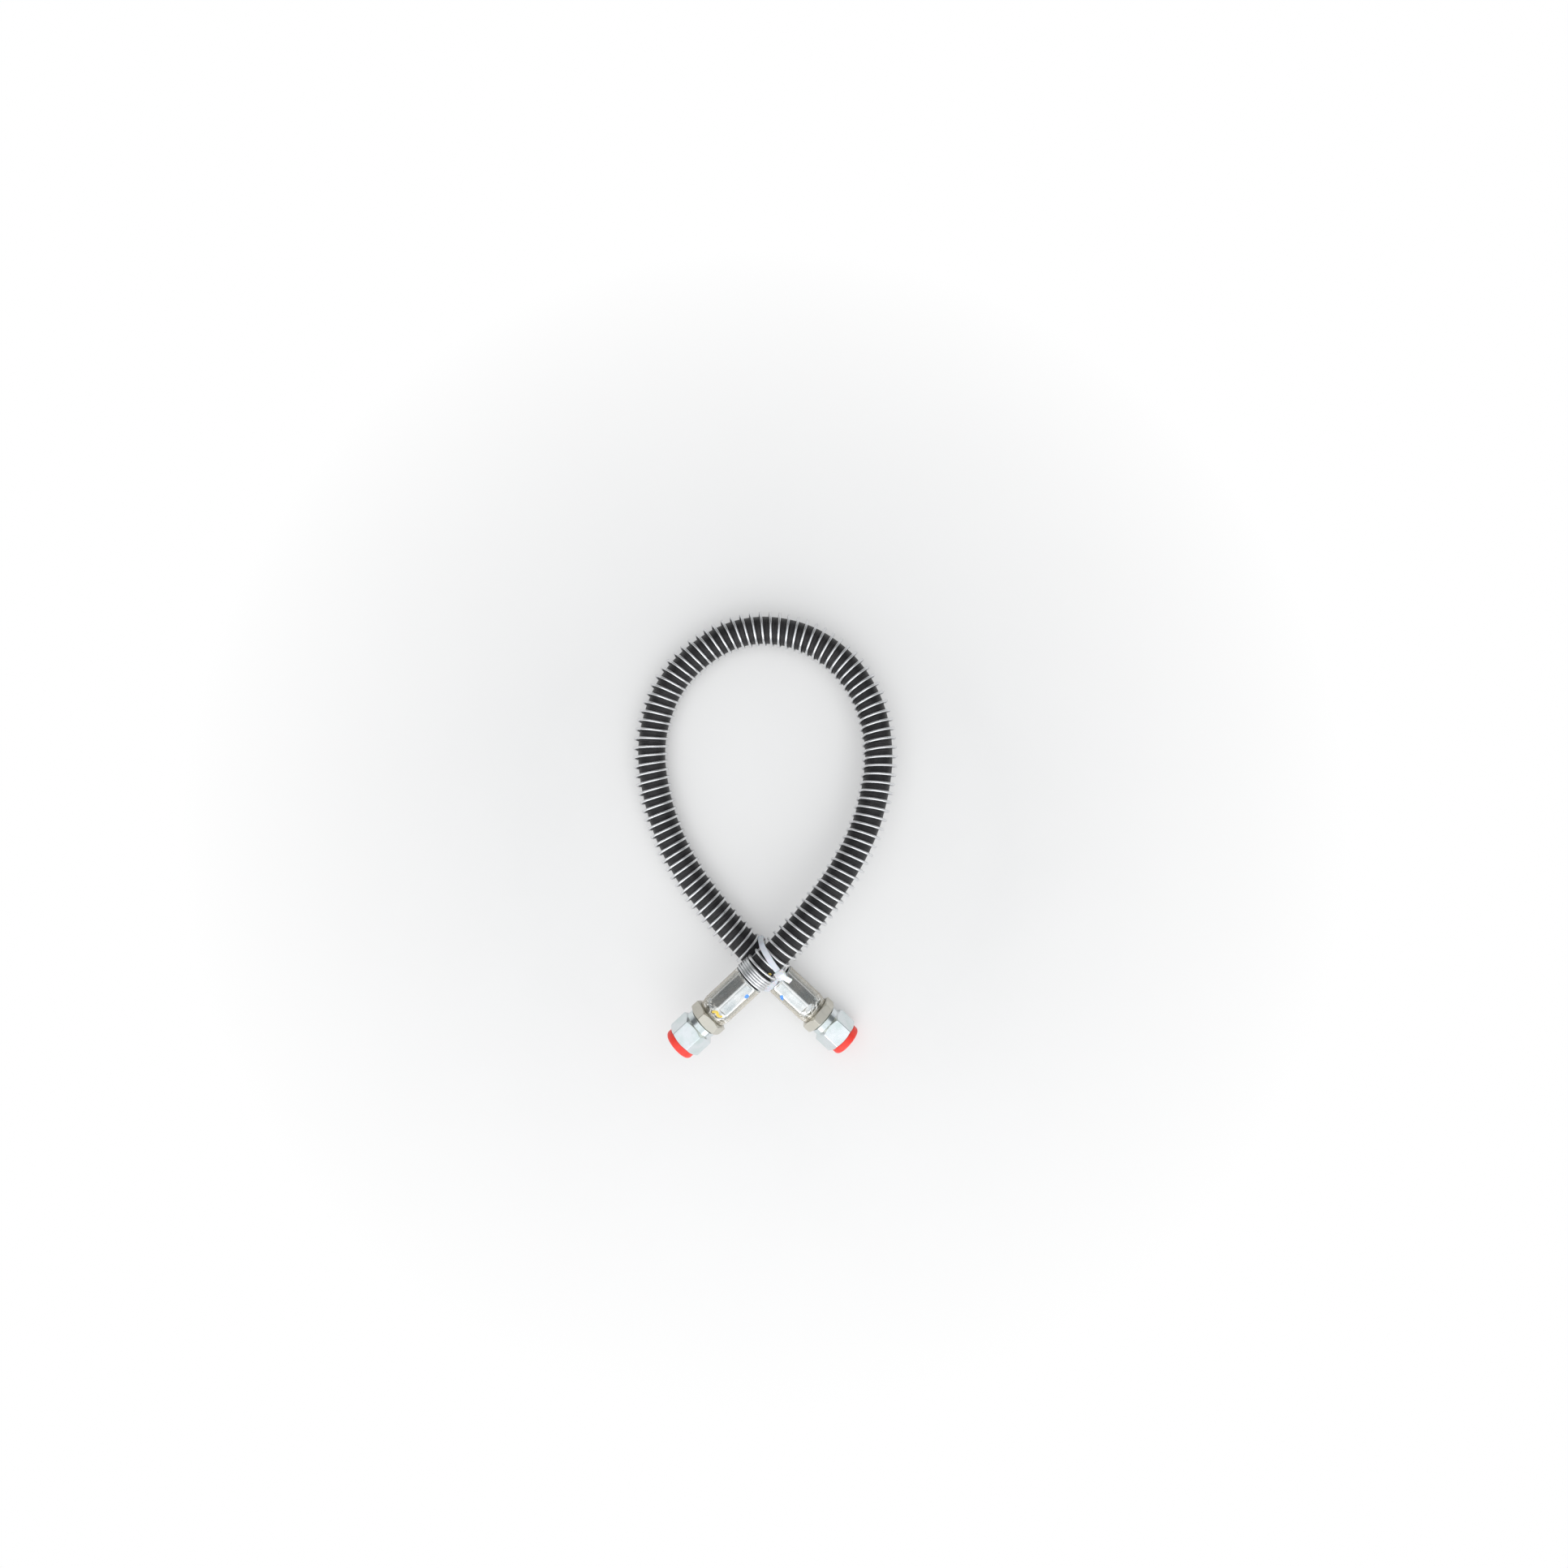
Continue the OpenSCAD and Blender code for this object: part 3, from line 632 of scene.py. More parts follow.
def turned_piece(name, angles, profiles, material, smooth_angle=30.0):
    """A closed solid about X, from one closed (x, r) outline in millimetres for each angle."""
    p = np.asarray(profiles, float)
    points = round_x(p[..., 0], p[..., 1], np.asarray(angles)[:, None])
    faces = grid_faces(len(angles), p.shape[1], True, True)
    return new_piece(name, points * MM, faces, material, smooth_angle)


def tube_piece(name, centres, first, second, sides, radius, material):
    """A tube in millimetres along a line, with closed ends and none of it below the floor."""
    rows = len(centres)
    a = np.arange(sides) * 2 * math.pi / sides
    radius = np.broadcast_to(np.asarray(radius, float), (rows,))
    c, s = np.cos(a)[None, :, None], np.sin(a)[None, :, None]
    rings = centres[:, None] + radius[:, None, None] * (c * first[:, None] + s * second[:, None])
    rings[..., 2] = np.maximum(rings[..., 2], 0.0)
    straight = np.stack([
        radius[:, None] * np.cos(a)[None], radius[:, None] * np.sin(a)[None],
        np.broadcast_to(run_along(centres)[:, None], (rows, sides))], -1)
    faces = [f[::-1] for f in grid_faces(rows, sides, False, True)]
    faces += [tuple(range(sides)), tuple((rows - 1) * sides + j for j in range(sides))[::-1]]
    return new_piece(name, rings.reshape(-1, 3) * MM, faces, material, 50, straight * MM, True)


def set_on_end(piece, end):
    """Puts a piece drawn along +X from the ferrule's mouth on that end of the hose."""
    place = Matrix.Translation(Vector(MOUTHS[end]) * MM)
    piece.matrix_world = place @ Matrix.Rotation(math.radians(ANGLES[end]), 4, "Z")


def stands_for(piece, body, node):
    """Sets a piece on its body, in place of its CAD node."""
    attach(piece, body)
    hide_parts(node)


def fitted(piece, end, body, node):
    """Sets a fitting's piece on its end, on its body, in place of its CAD node."""
    set_on_end(piece, end)
    stands_for(piece, body, node)


# ------------------------------------------------------------- fitting shapes
# X runs along a fitting from its ferrule's mouth
FLAT_R, RIDGE_R = 11.75, 12.35
# Degrees from the middle of a crimped flat to a ridge
RIDGE_AT = 22.5
# Where the crimp and the shoulder end, and the stretch that has seams along its ridges
CRIMP_END, SHOULDER_END, SEAM_X0, SEAM_X1 = 29.5, 36.3, 1.7, 30.0
HEX_X0, HEX_X1 = 39.2, 47.4
NUT_X0, NUT_X1 = 48.0, 69.5
ACROSS = 27.0
CORNER_R = ACROSS / 2 / math.cos(math.radians(30))
COLLAR_R, COLLAR_X1, NUT_FACE_R = 12.5, NUT_X0 + 4.6, 13.2
# Round wire that keeps the nut on the stem's shank, half in a groove of each
KEEPER_X, KEEPER_R = NUT_X0 + 2.4, 0.78
SHANK_R, SHANK_X1, NUT_BORE_R = 9.0, NUT_X0 + 7.3, 9.1
STEM_BORE_R, NECK_R = 4.6, 10.2
COUNTERBORE_X, THREAD_X0 = NUT_X1 - 4.4, SHANK_X1 + 0.3
THREAD_R, THREAD_DEPTH, THREAD_PITCH = 10.19, 0.8, 1.5
PLUG_R, PLUG_X1, SPIGOT_R = 12.9, NUT_X1 + 6.1, 10.86
SLEEVE_WALL = 0.55
# How far behind the shoulder's end, and the radius there
SHOULDER_FALL = np.array([
    [-5.5, -4.5, -3.6, -3.0, -2.4, -1.8, -1.2, -0.7, -0.3, 0.0],
    [RIDGE_R, RIDGE_R, RIDGE_R, 12.25, 12.08, 11.84, 11.5, 11.12, 10.75, 10.4]])


def hexagon_angles(turn):
    """Angles round a hexagon, close together at its corners, and each one's distance in
    degrees from the middle of its flat."""
    off = np.array([-29.2, -27.5, -24, -18, -12, -6, 0, 6, 12, 18, 24, 27.5, 29.2, 30])
    angles = np.concatenate([k * 60 + off for k in range(6)])
    return angles + turn, np.tile(np.abs(off), 6)


def hexagon_radii(off, corner):
    """Radius of a hexagon bar at those distances, with its corners worn off."""
    return np.minimum(ACROSS / 2 / np.cos(np.radians(off)), CORNER_R - corner)


def keeper_groove(r, outward):
    """Outline of the keeper's groove at radius r, along +x; outward cuts up into a bore's wall."""
    turns = [math.pi * k / 8 for k in range(9)]
    return [(KEEPER_X - KEEPER_R * math.cos(a), r + outward * KEEPER_R * math.sin(a))
            for a in turns]


def ferrule_profiles(end, seam):
    """Angles and outlines of a ferrule with eight crimped flats that run out at both ends."""
    off = np.array([0, 5, 10, 13.5, 15.5, 16.8, 17.6, 18.4, 19.4, 20.5, 21.6, RIDGE_AT])
    half = np.concatenate([-off[:0:-1], off])[1:]
    angles = np.concatenate([FLAT_TURNS[end] + 2 * RIDGE_AT * i + half for i in range(8)])
    away = np.tile(np.abs(half), 8)
    xs = np.concatenate([
        [0, 0.2, 0.5, 1.0], np.arange(1.4, 3.8, 0.2), [4.4, 6, 9, 12, 15, 18, 21, 24, 26.5],
        np.arange(27.6, 30.8, 0.2), SHOULDER_END + SHOULDER_FALL[0]])
    plain = np.interp(
        xs, [0, 0.2, 0.5, 1.0, *(SHOULDER_END + SHOULDER_FALL[0][2:])],
        [FLAT_R, 12.05, 12.27, RIDGE_R, *SHOULDER_FALL[1][2:]])
    die = FLAT_R + 0.8 * np.maximum(0, 2.0 - xs) + 0.8 * np.maximum(0, xs - CRIMP_END - 0.2)
    die = die + 0.02 * np.cos((xs - 2) / 28 * 2 * math.pi)
    bore = [(SHOULDER_END, 10.25), (36.2, 10.25), (35.95, 7.7), (34.05, 7.7), (34.05, 9.15),
            (32.6, 9.35), (32.5, 10.35), (0.4, 10.35)]
    profiles = []
    for d in away:
        pressed = die / math.cos(math.radians(d)) - 0.09 * math.cos(math.radians(4.8 * d))
        r = soft_least(pressed, plain, 9.0)
        inside = (xs > SEAM_X0) & (xs < SEAM_X1)
        r = r + np.where(inside, seam * math.exp(-((RIDGE_AT - d) ** 2)), 0)
        profiles.append(list(zip(xs, r)) + bore)
    return angles, profiles


def stem_profiles(turn, corner):
    """Angles and outlines of a stem: barbed tail, grooved neck, hexagon and flared shank."""
    angles, off = hexagon_angles(turn)
    radii = hexagon_radii(off, corner)
    tail = [(1.5, STEM_BORE_R), (1.5, 5.4)]
    for i in range(5):
        x = 3 + 5.5 * i
        tail += [(x, 5.7), (x + 4.1, 6.3), (x + 4.9, 6.3), (x + 5.0, 5.75)]
    tail += [(32.55, 5.7), (32.55, 8.45), (34.0, 8.45), (34.0, 7.55), (36.0, 7.55),
             (36.5, 10.15), (37.0, NECK_R)]
    for x in (37.4, 38.2):
        tail += [(x, NECK_R), (x + 0.12, 9.85), (x + 0.38, 9.75), (x + 0.5, 10.15)]
    tail += [(39.1, 10.1), (HEX_X0, 10.0)]
    end = SHANK_X1
    shank = [(HEX_X1, 9.2), (HEX_X1 + 0.15, SHANK_R), *keeper_groove(SHANK_R, -1),
             (end - 0.5, SHANK_R), (end - 0.2, 8.88), (end, 8.6), (end, 8.4),
             (end - 5.043, STEM_BORE_R)]
    face = ACROSS / 2 - 0.4
    slope = 1.3 / (CORNER_R - face)
    profiles = []
    for r in radii:
        cut = (r - face) * slope
        profiles.append(
            tail + [(HEX_X0, face), (HEX_X0 + cut, r), (HEX_X1 - cut, r), (HEX_X1, face)]
            + shank)
    return angles, profiles


def nut_profiles(turn, corner):
    """Angles and outlines of a swivel nut: round collar, hexagon, and a thread inside."""
    angles, off = hexagon_angles(turn)
    radii = hexagon_radii(off, corner)
    collar = [(NUT_X0, 9.3), (NUT_X0, 12.0), (NUT_X0 + 0.12, 12.25), (NUT_X0 + 0.4, 12.45),
              (NUT_X0 + 0.8, COLLAR_R), (NUT_X0 + 4.2, COLLAR_R), (COLLAR_X1, 12.56)]
    threads = np.arange(COUNTERBORE_X, THREAD_X0 - 0.01, -THREAD_PITCH / 8)
    end = [(THREAD_X0, THREAD_R), (THREAD_X0, NUT_BORE_R),
           *keeper_groove(NUT_BORE_R, 1)[::-1], (NUT_X0 + 0.2, NUT_BORE_R)]
    profiles = []
    for angle, r in zip(angles, radii):
        rise = COLLAR_X1 + 2.2 * (r - COLLAR_R) / (CORNER_R - COLLAR_R)
        drop = NUT_X1 - 1.2 * (r - NUT_FACE_R) / (CORNER_R - NUT_FACE_R)
        turn_share = (threads / THREAD_PITCH - angle / 360) % 1
        depth = np.clip(1.5 - 4 * np.abs(turn_share - 0.5), 0, 1)
        cut = THREAD_R + THREAD_DEPTH * depth * np.clip((threads - THREAD_X0) / 1.5, 0, 1)
        profiles.append(
            collar + [(rise, r), (drop, r), (NUT_X1, NUT_FACE_R), (NUT_X1, 11.5),
                      (NUT_X1 - 0.35, 11.12), (COUNTERBORE_X + 0.1, 11.1)]
            + list(zip(threads, cut)) + end)
    return angles, profiles


def sleeve_profiles(end):
    """Angles and outlines of a shrunk sleeve, with pleats where it narrows to the neck."""
    last = HEX_X0 - 0.5
    xs = np.concatenate([[0.3, 0.6, 1.2, 2.2, 3.4], np.arange(5, 32, 2.0),
                         np.arange(32, last - 0.1, 0.3), [last]])
    inner = np.interp(xs, [0.3, 3.4, 7.4, 25.5, CRIMP_END, SHOULDER_END - 3, SHOULDER_END, last],
                      [12.47, 12.46, 12.44, 12.44, 12.46, 12.46, 11.85, 11.25])
    lift = smooth_step(xs, 32.5, 35) * (1 - smooth_step(xs, last - 0.9, last))
    ripple = 0.07 * np.sin((xs - 35.6) / 1.15 * 2 * math.pi) * smooth_step(xs, 34.8, 36.4)
    angles = np.arange(0, 360, 3)
    shift = 0.0 if end == "a" else 1.9
    profiles = []
    for a in np.radians(angles):
        pleat = (0.09 * math.sin(5 * a + shift) + 0.06 * math.sin(9 * a + 2.1 + shift)
                 + 0.04 * math.sin(17 * a + shift)) * lift
        slack = 0.05 * math.sin(3 * a + shift) * np.exp(-(((xs - 1) / 2.2) ** 2))
        ragged = 0.18 * math.sin(4 * a + shift) + 0.08 * math.sin(11 * a)
        moved = xs + np.where(xs < 1.0, 0.2 + ragged, 0)
        wave = np.maximum(pleat, -0.02) + np.maximum(slack, 0)
        outer = inner + SLEEVE_WALL + pleat + np.maximum(slack, 0) + ripple * 0.6
        profiles.append(list(zip(moved, outer)) + list(zip(moved[::-1], (inner + wave)[::-1])))
    return angles, profiles


def plug_outline():
    """Outline of a dust plug: ribbed spigot, rounded flange and a dished face with a gate mark."""
    x0, x1, r, edge = NUT_X1 + 0.1, PLUG_X1, PLUG_R, 2.6
    tip = NUT_X1 - 4.1
    spigot = [(tip, 0), (tip, 8.6), (tip + 0.2, 8.9), (tip, 9.2), (tip, 10.3),
              (tip + 0.3, 10.7), (tip + 0.7, SPIGOT_R)]
    for x in (tip + 1.2, tip + 2.5):
        spigot += [(x, SPIGOT_R), (x + 0.2, 11.0), (x + 0.4, 11.0), (x + 0.6, SPIGOT_R)]
    flange = [(x0 - 0.25, 10.9), (x0, 11.1), (x0, r - 0.5), (x0 + 0.15, r - 0.15), (x0 + 0.5, r)]
    arc = [(x1 - edge + edge * math.sin(math.radians(a)),
            r - edge + edge * math.cos(math.radians(a))) for a in range(0, 91, 9)]
    face = [(x1, r - edge - 0.5), (x1 - 0.25, r - edge - 0.9), (x1 - 0.95, r - edge - 1.5),
            (x1 - 1.2, r - edge - 2.2), (x1 - 1.25, 2.2), (x1 - 1.05, 1.9), (x1 - 1.0, 1.2),
            (x1 - 0.8, 0.9), (x1 - 0.75, 0)]
    return spigot + flange + arc + face


# ----------------------------------------------------------------- cable tie
STRAP_WIDE, STRAP_THICK, STRAP_EDGE = 4.6, 1.15, 0.28
HEAD_SIZE, HEAD_WALL, SLOT_DEPTH, HEAD_ROUND = (7.7, 8.3, 4.6), 1.35, 1.7, 0.75
# How far from the upper leg's axis the middle of the head lies, and how many degrees above
# OVER_WAY
HEAD_OUT, HEAD_ANGLE = 14.905 + HEAD_SIZE[2] / 2, 42.0
# The cut tail, its teeth, and how far it is bent aside and up from the head
TAIL_LONG, TOOTH_STEP, TOOTH_HIGH, TAIL_ASIDE, TAIL_UP = 9.6, 0.25, 0.22, 26.0, 28.0
# The strap's bends over the upper leg and under the lower one: their radii, the cosine of the
# slant at the lower leg, their middles, and the level direction across the upper leg
OVER_R, UNDER_R, UNDER_SLANT = 14.0, 14.45, 0.731
OVER_AT = np.array([6.3, -94.4, 44.6])
OVER_WAY = unit(np.array([0.546, -0.838, 0.0]))
UNDER_AT = np.array([-1.5, -103.4, 15.7])
UP = np.array([0.0, 0.0, 1.0])


def strap_path():
    """The strap's inner face: places and outward directions round both legs of the hose."""
    side = {end: np.array([-way_of(end)[1], way_of(end)[0], 0]) for end in "ab"}
    path = []
    for a in np.radians(np.arange(180, -1, -18)):
        path.append((OVER_AT + OVER_R * (math.cos(a) * OVER_WAY + math.sin(a) * UP),
                     math.cos(a) * side["b"] + math.sin(a) * UP))
    path += [((11.2, -111.4, 35.5), (0.5, -0.7, 0.5)), ((5, -119.8, 29.5), (-0.2, -0.75, 0.6)),
             ((0.5, -123.6, 23), (-0.6, -0.8, 0.2))]
    for a in np.radians(np.arange(180, 361, 18)):
        across = math.cos(a) / UNDER_SLANT * np.array([0.0, 1.0, 0.0])
        path.append((UNDER_AT + UNDER_R * (across + math.sin(a) * UP),
                     math.cos(a) * side["a"] + math.sin(a) * UP))
    path += [((-2.0, -82.1, 26), (0.35, 0.9, 0)), ((-2.1, -81.9, 34), (-0.35, 0.9, 0))]
    places, outs = np.array([p for p, _ in path]), np.array([out for _, out in path])
    return curve_through(places, 8, True), unit(curve_through(unit(outs), 8, True))


def strap_rings():
    """Rings of the flat strap, with rounded edges and a slightly crowned outer face."""
    places, outs = strap_path()
    ways = unit(np.roll(places, -1, 0) - np.roll(places, 1, 0))
    outs = unit(outs - (outs * ways).sum(-1, keepdims=True) * ways)
    across = np.cross(outs, ways)
    e, w, thick = STRAP_EDGE, STRAP_WIDE / 2, STRAP_THICK
    section = [(-w + e, 0.0), (w - e, 0.0), (w, e), (w, thick - e), (w - e, thick - 0.05),
               (w * 0.5, thick), (0.0, thick + 0.02), (-w * 0.5, thick),
               (-w + e, thick - 0.05), (-w, thick - e), (-w, e)]
    return np.stack([places + x * across + y * outs for x, y in section], 1)


def toothed_tail():
    """Rings of the cut tail along +X, with the ratchet's teeth on its lower face."""
    steps, rows = int(TAIL_LONG / TOOTH_STEP), []
    e, w, under = STRAP_EDGE, STRAP_WIDE / 2, -STRAP_THICK / 2
    for k in range(steps + 1):
        x = k * TOOTH_STEP
        tooth = TOOTH_HIGH if k % 4 in (1, 2) else 0.0
        end = 0.35 * max(0.0, (x - TAIL_LONG + 0.5) / 0.5)
        low, high = under + tooth, STRAP_THICK / 2 - 0.02
        half = [(w - 1.0, low), (w - 0.9, under), (w - e - end, under), (w - end, under + e),
                (w - end, high - e), (w - e - end, high)]
        rows.append([(x, -w + 1.0, low), *[(x, y, z) for y, z in half], (x, 0, high + 0.02),
                     *[(x, -y, z) for y, z in half[:0:-1]]])
    return np.array(rows)


def head_shell():
    """The tie's head, drawn with the strap along X: a rounded block with a sunk ratchet slot."""
    block = bmesh.new()
    bmesh.ops.create_cube(block, size=1.0)
    for v in block.verts:
        narrow = 0.84 if v.co.z > 0 else 1.0
        size = (HEAD_SIZE[0] * narrow, HEAD_SIZE[1] * narrow, HEAD_SIZE[2])
        v.co = Vector([c * whole for c, whole in zip(v.co, size)])
    top = max(block.faces, key=lambda f: f.calc_center_median().z)
    inset = bmesh.ops.inset_region(block, faces=[top], thickness=HEAD_WALL)
    slot = [f for f in block.faces if f not in inset["faces"]]
    slot = max(slot, key=lambda f: f.calc_center_median().z)
    for v in slot.verts:
        v.co.z -= SLOT_DEPTH
    outer = [e for e in block.edges if e not in slot.edges and e.calc_length() > 1.9]
    bmesh.ops.bevel(block, geom=outer, offset=HEAD_ROUND, segments=4, profile=0.5, affect="EDGES",
                    clamp_overlap=True)
    points = np.array([v.co for v in block.verts])
    index = {v: i for i, v in enumerate(block.verts)}
    faces = [tuple(index[v] for v in f.verts) for f in block.faces]
    block.free()
    return points, faces


# ---------------------------------------------------------------- paint marks
# Height of a dab, width of the brush stroke, and radii of the skins that they lie on
DAB_HIGH, STROKE_WIDE, SLEEVE_SKIN_R, HOSE_SKIN_R = 0.015, 2.3, 13.08, 10.9


def blob_rings(outline):
    """Rows and heights of a domed patch, from its outline of (along, round) millimetres."""
    line = np.array(outline, float)
    middle = line.mean(0)
    rows = [middle + (line - middle) * share for share in (1.0, 0.96, 0.8, 0.45, 0.0)]
    lifts = (0.0, 0.6, 0.95, 1.0, 1.0)
    return [(row, DAB_HIGH * lift) for row, lift in zip(rows, lifts)]


def wavy_outline(size_along, size_round, turn, seed, count=28):
    """An uneven oval, turned by some degrees."""
    rng = np.random.default_rng(seed)
    a = np.arange(count) * 2 * math.pi / count
    phases = rng.uniform(0, 2 * math.pi, 4)
    r = 1 + sum(0.10 / (k + 1) * np.sin((k + 2) * a + phases[k]) for k in range(4))
    x, y = size_along * r * np.cos(a), size_round * r * np.sin(a)
    t = math.radians(turn)
    return np.stack([x * math.cos(t) - y * math.sin(t), x * math.sin(t) + y * math.cos(t)], -1)


def stroke_rows():
    """Rows of (along, radius, angle) points of an uneven brush stroke on the sleeve's neck."""
    points = np.array([(35.4, -2.6), (33.6, -1.9), (32.7, 0.0), (33.6, 1.9), (33.1, 3.9),
                       (31.8, 5.2)])
    line = curve_through([2 * points[0] - points[1], *points, 2 * points[-1] - points[-2]], 6)
    way = unit(np.gradient(line, axis=0))
    side = np.stack([-way[:, 1], way[:, 0]], -1)
    ends = np.sin(np.linspace(0.35, math.pi - 0.25, len(line))) ** 0.4
    uneven = 1 + 0.07 * np.random.default_rng(4).standard_normal(len(line))
    half = (STROKE_WIDE / 2 * ends * uneven)[:, None]
    rows = []
    for share, lift in ((-1, 0.0), (-0.8, 0.03), (0, 0.04), (0.8, 0.03), (1, 0.0)):
        x, y = (line + side * half * share).T
        r = np.interp(x, [32.3, 33.8, 36.3, 39], [13.03, 12.95, 12.42, 11.85]) + 0.1
        rows.append(np.stack([x, r + lift, -np.degrees(y / r)], -1))
    return rows


# ------------------------------------------------------------------ operators
# Metres: the point that the camera hangs over, and the floor's reach each way
CAMERA_OVER, FLOOR_REACH = (0.0158, 0.0401), 3.0


class HOSE_OT_stage(bpy.types.Operator):
    """Makes the camera, the pale floor, the soft lamps and the room round them"""

    bl_idname = "hose.stage"
    bl_label = "Camera, floor and lamps"

    def execute(self, context):
        scene, s = context.scene, context.scene.stage_settings
        scene.view_settings.view_transform = "Standard"
        lens = bpy.data.cameras.new("Camera")
        lens.lens, lens.sensor_width = s.lens, 36.0
        lens.clip_start, lens.clip_end = 0.01, 20.0
        scene.camera = bpy.data.objects.new("Camera", lens)
        scene.camera.location = (*CAMERA_OVER, s.height)
        scene.collection.objects.link(scene.camera)
        corners = [(x * FLOOR_REACH, y * FLOOR_REACH, 0)
                   for x, y in ((-1, -1), (1, -1), (1, 1), (-1, 1))]
        new_piece("floor", corners, [(0, 1, 2, 3)], floor_finish(s.floor))
        for name, place, target, size, power in (
                ("key lamp", (0.05, -1.15, 1.05), (0.0, 0.03, 0.0), (1.8, 1.2), s.key),
                ("top lamp", (0.0, -0.05, 1.6), (0.0, 0.0, 0.0), (2.1, 1.8), s.top)):
            light = bpy.data.lights.new(name, "AREA")
            light.shape, light.size, light.size_y, light.energy = "RECTANGLE", *size, power
            lamp = bpy.data.objects.new(name, light)
            lamp.location = place
            lamp.visible_glossy = False
            ray = Vector(target) - Vector(place)
            lamp.rotation_euler = ray.to_track_quat("-Z", "Y").to_euler()
            scene.collection.objects.link(lamp)
        self.room(scene, s.room)
        return {"FINISHED"}

    @staticmethod
    def room(scene, level):
        """Even light all round, plain white to the camera, and a tent and strips in the gloss."""
        scene.world = bpy.data.worlds.new("Soft room")
        scene.world.use_nodes = True
        n = Nodes(scene.world.node_tree)
        n.tree.nodes.clear()
        out = n.add("ShaderNodeOutputWorld")
        path = n.add("ShaderNodeLightPath").outputs
        way = n.add("ShaderNodeTexCoord").outputs["Generated"]
        look = n.parts(way)
        up, front = look["Z"], n.times(look["Y"], -1.0)
        tent = n.times(n.between(up, 0.86, 0.76), n.between(up, 0.10, 0.30))
        back = n.times(tent, n.between(front, 0.10, -0.15))
        seen = n.plus(n.between(back, 0.0, 1.0, 0.98, 0.19),
                      n.times(n.times(tent, 0.45), n.between(front, 0.25, 0.45)))
        strip = n.times(n.between(up, 0.70, 0.60), n.between(up, 0.20, 0.35))
        strip = n.times(strip, n.between(front, 0.40, 0.60))
        seen = n.plus(seen, n.times(strip, 1.2))
        seen = n.times(seen, n.between(up, 0.0, 0.25, 0.6, 1.0))
        clutter = n.noise(n.scaled(way, (1.0, 1.0, 1.4)), 4.5)
        seen = n.times(seen, n.between(clutter, 0.38, 0.62, 0.70, 1.22))
        seen = n.plus(seen, n.between(up, 0.86, 0.93, 0.0, 0.22))
        strength = n.between(path["Is Glossy Ray"], 0.0, 1.0, level, seen)
        even = n.add("ShaderNodeBackground", {"Color": (0.94, 0.96, 0.98), "Strength": strength})
        white = n.add("ShaderNodeBackground", {"Color": (1.0, 1.0, 1.0), "Strength": 1.0})
        n.give(out.inputs["Surface"],
               n.blend(path["Is Camera Ray"], even.outputs[0], white.outputs[0]))


class HOSE_OT_hose(bpy.types.Operator):
    """Makes the rubber cover along the hose's line, leaning to the inside of the bend"""

    bl_idname = "hose.hose"
    bl_label = "Rubber hose"

    def execute(self, context):
        s = context.scene.hose_settings
        inside, outside = GRIP - 0.5, HOSE.length - GRIP + 0.5
        stops = np.concatenate([
            np.linspace(6, inside - 0.5, 8), np.linspace(inside, inside + 4, 9),
            np.linspace(inside + 6, outside - 6, 300), np.linspace(outside - 4, outside, 9),
            np.linspace(outside + 0.5, HOSE.length - 6, 8)])
        _, aside, down = HOSE.ways(stops)
        free = HOSE.away_from_mouths(stops, LEAN_OVER)[:, None]
        centres = HOSE.at(stops) + free * (aside * s.lean / MM + down * SAG)
        clear = np.minimum(stops - inside, outside - stops)
        radius = GRIPPED_R + (s.diameter / 2 / MM - GRIPPED_R) * smooth_step(clear, 0.0, 2.5)
        piece = tube_piece("hose_skin", centres, aside, down, HOSE_SIDES, radius,
                           rubber_cover(s))
        stands_for(piece, "hose_assembly", "hose_cover")
        piece["line"] = [float(c) for c in (centres * MM).ravel()]
        return {"FINISHED"}


class HOSE_OT_spring(bpy.types.Operator):
    """Winds the spring guard: one right-hand wire with touching turns at both ends"""

    bl_idname = "hose.spring"
    bl_label = "Spring guard"

    def execute(self, context):
        s = context.scene.guard_settings
        wire, radius, pitch = s.wire / MM, s.radius / MM, s.pitch / MM
        start = GRIP + END_AIR + wire / 2
        stop = HOSE.length - start
        shut = wire + TURN_AIR
        open_turns = (stop - start - 2 * s.shut_turns * shut) / pitch
        turns = open_turns + 2 * s.shut_turns
        t = np.arange(0, turns, 1 / TURN_STEPS)
        from_shut = np.minimum(t - s.shut_turns, turns - s.shut_turns - t)
        pitches = shut + (pitch - shut) * smooth_step(from_shut, -0.35, 0.35)
        run = np.concatenate([[0.0], np.cumsum(pitches[:-1] / TURN_STEPS)])
        run = start + run * (stop - start) / run[-1]
        rng = np.random.default_rng(7)
        whole = np.arange(int(turns) + 3)
        uneven = np.interp(t, whole, rng.normal(0, 0.10, len(whole)))
        run = run + uneven * smooth_step(from_shut, 0, 1.5)
        _, aside, down = HOSE.ways(run)
        a = t * 2 * math.pi + s.start_angle
        out = np.cos(a)[:, None] * aside + np.sin(a)[:, None] * down
        line = HOSE.at(run) + radius * out
        way = unit(np.gradient(line, axis=0))
        out = unit(out - (out * way).sum(-1, keepdims=True) * way)
        piece = tube_piece("spring_wire", line, out, np.cross(way, out), WIRE_SIDES, wire / 2,
                           spring_wire(s))
        stands_for(piece, "hose_assembly", "spring_guard")
        return {"FINISHED"}


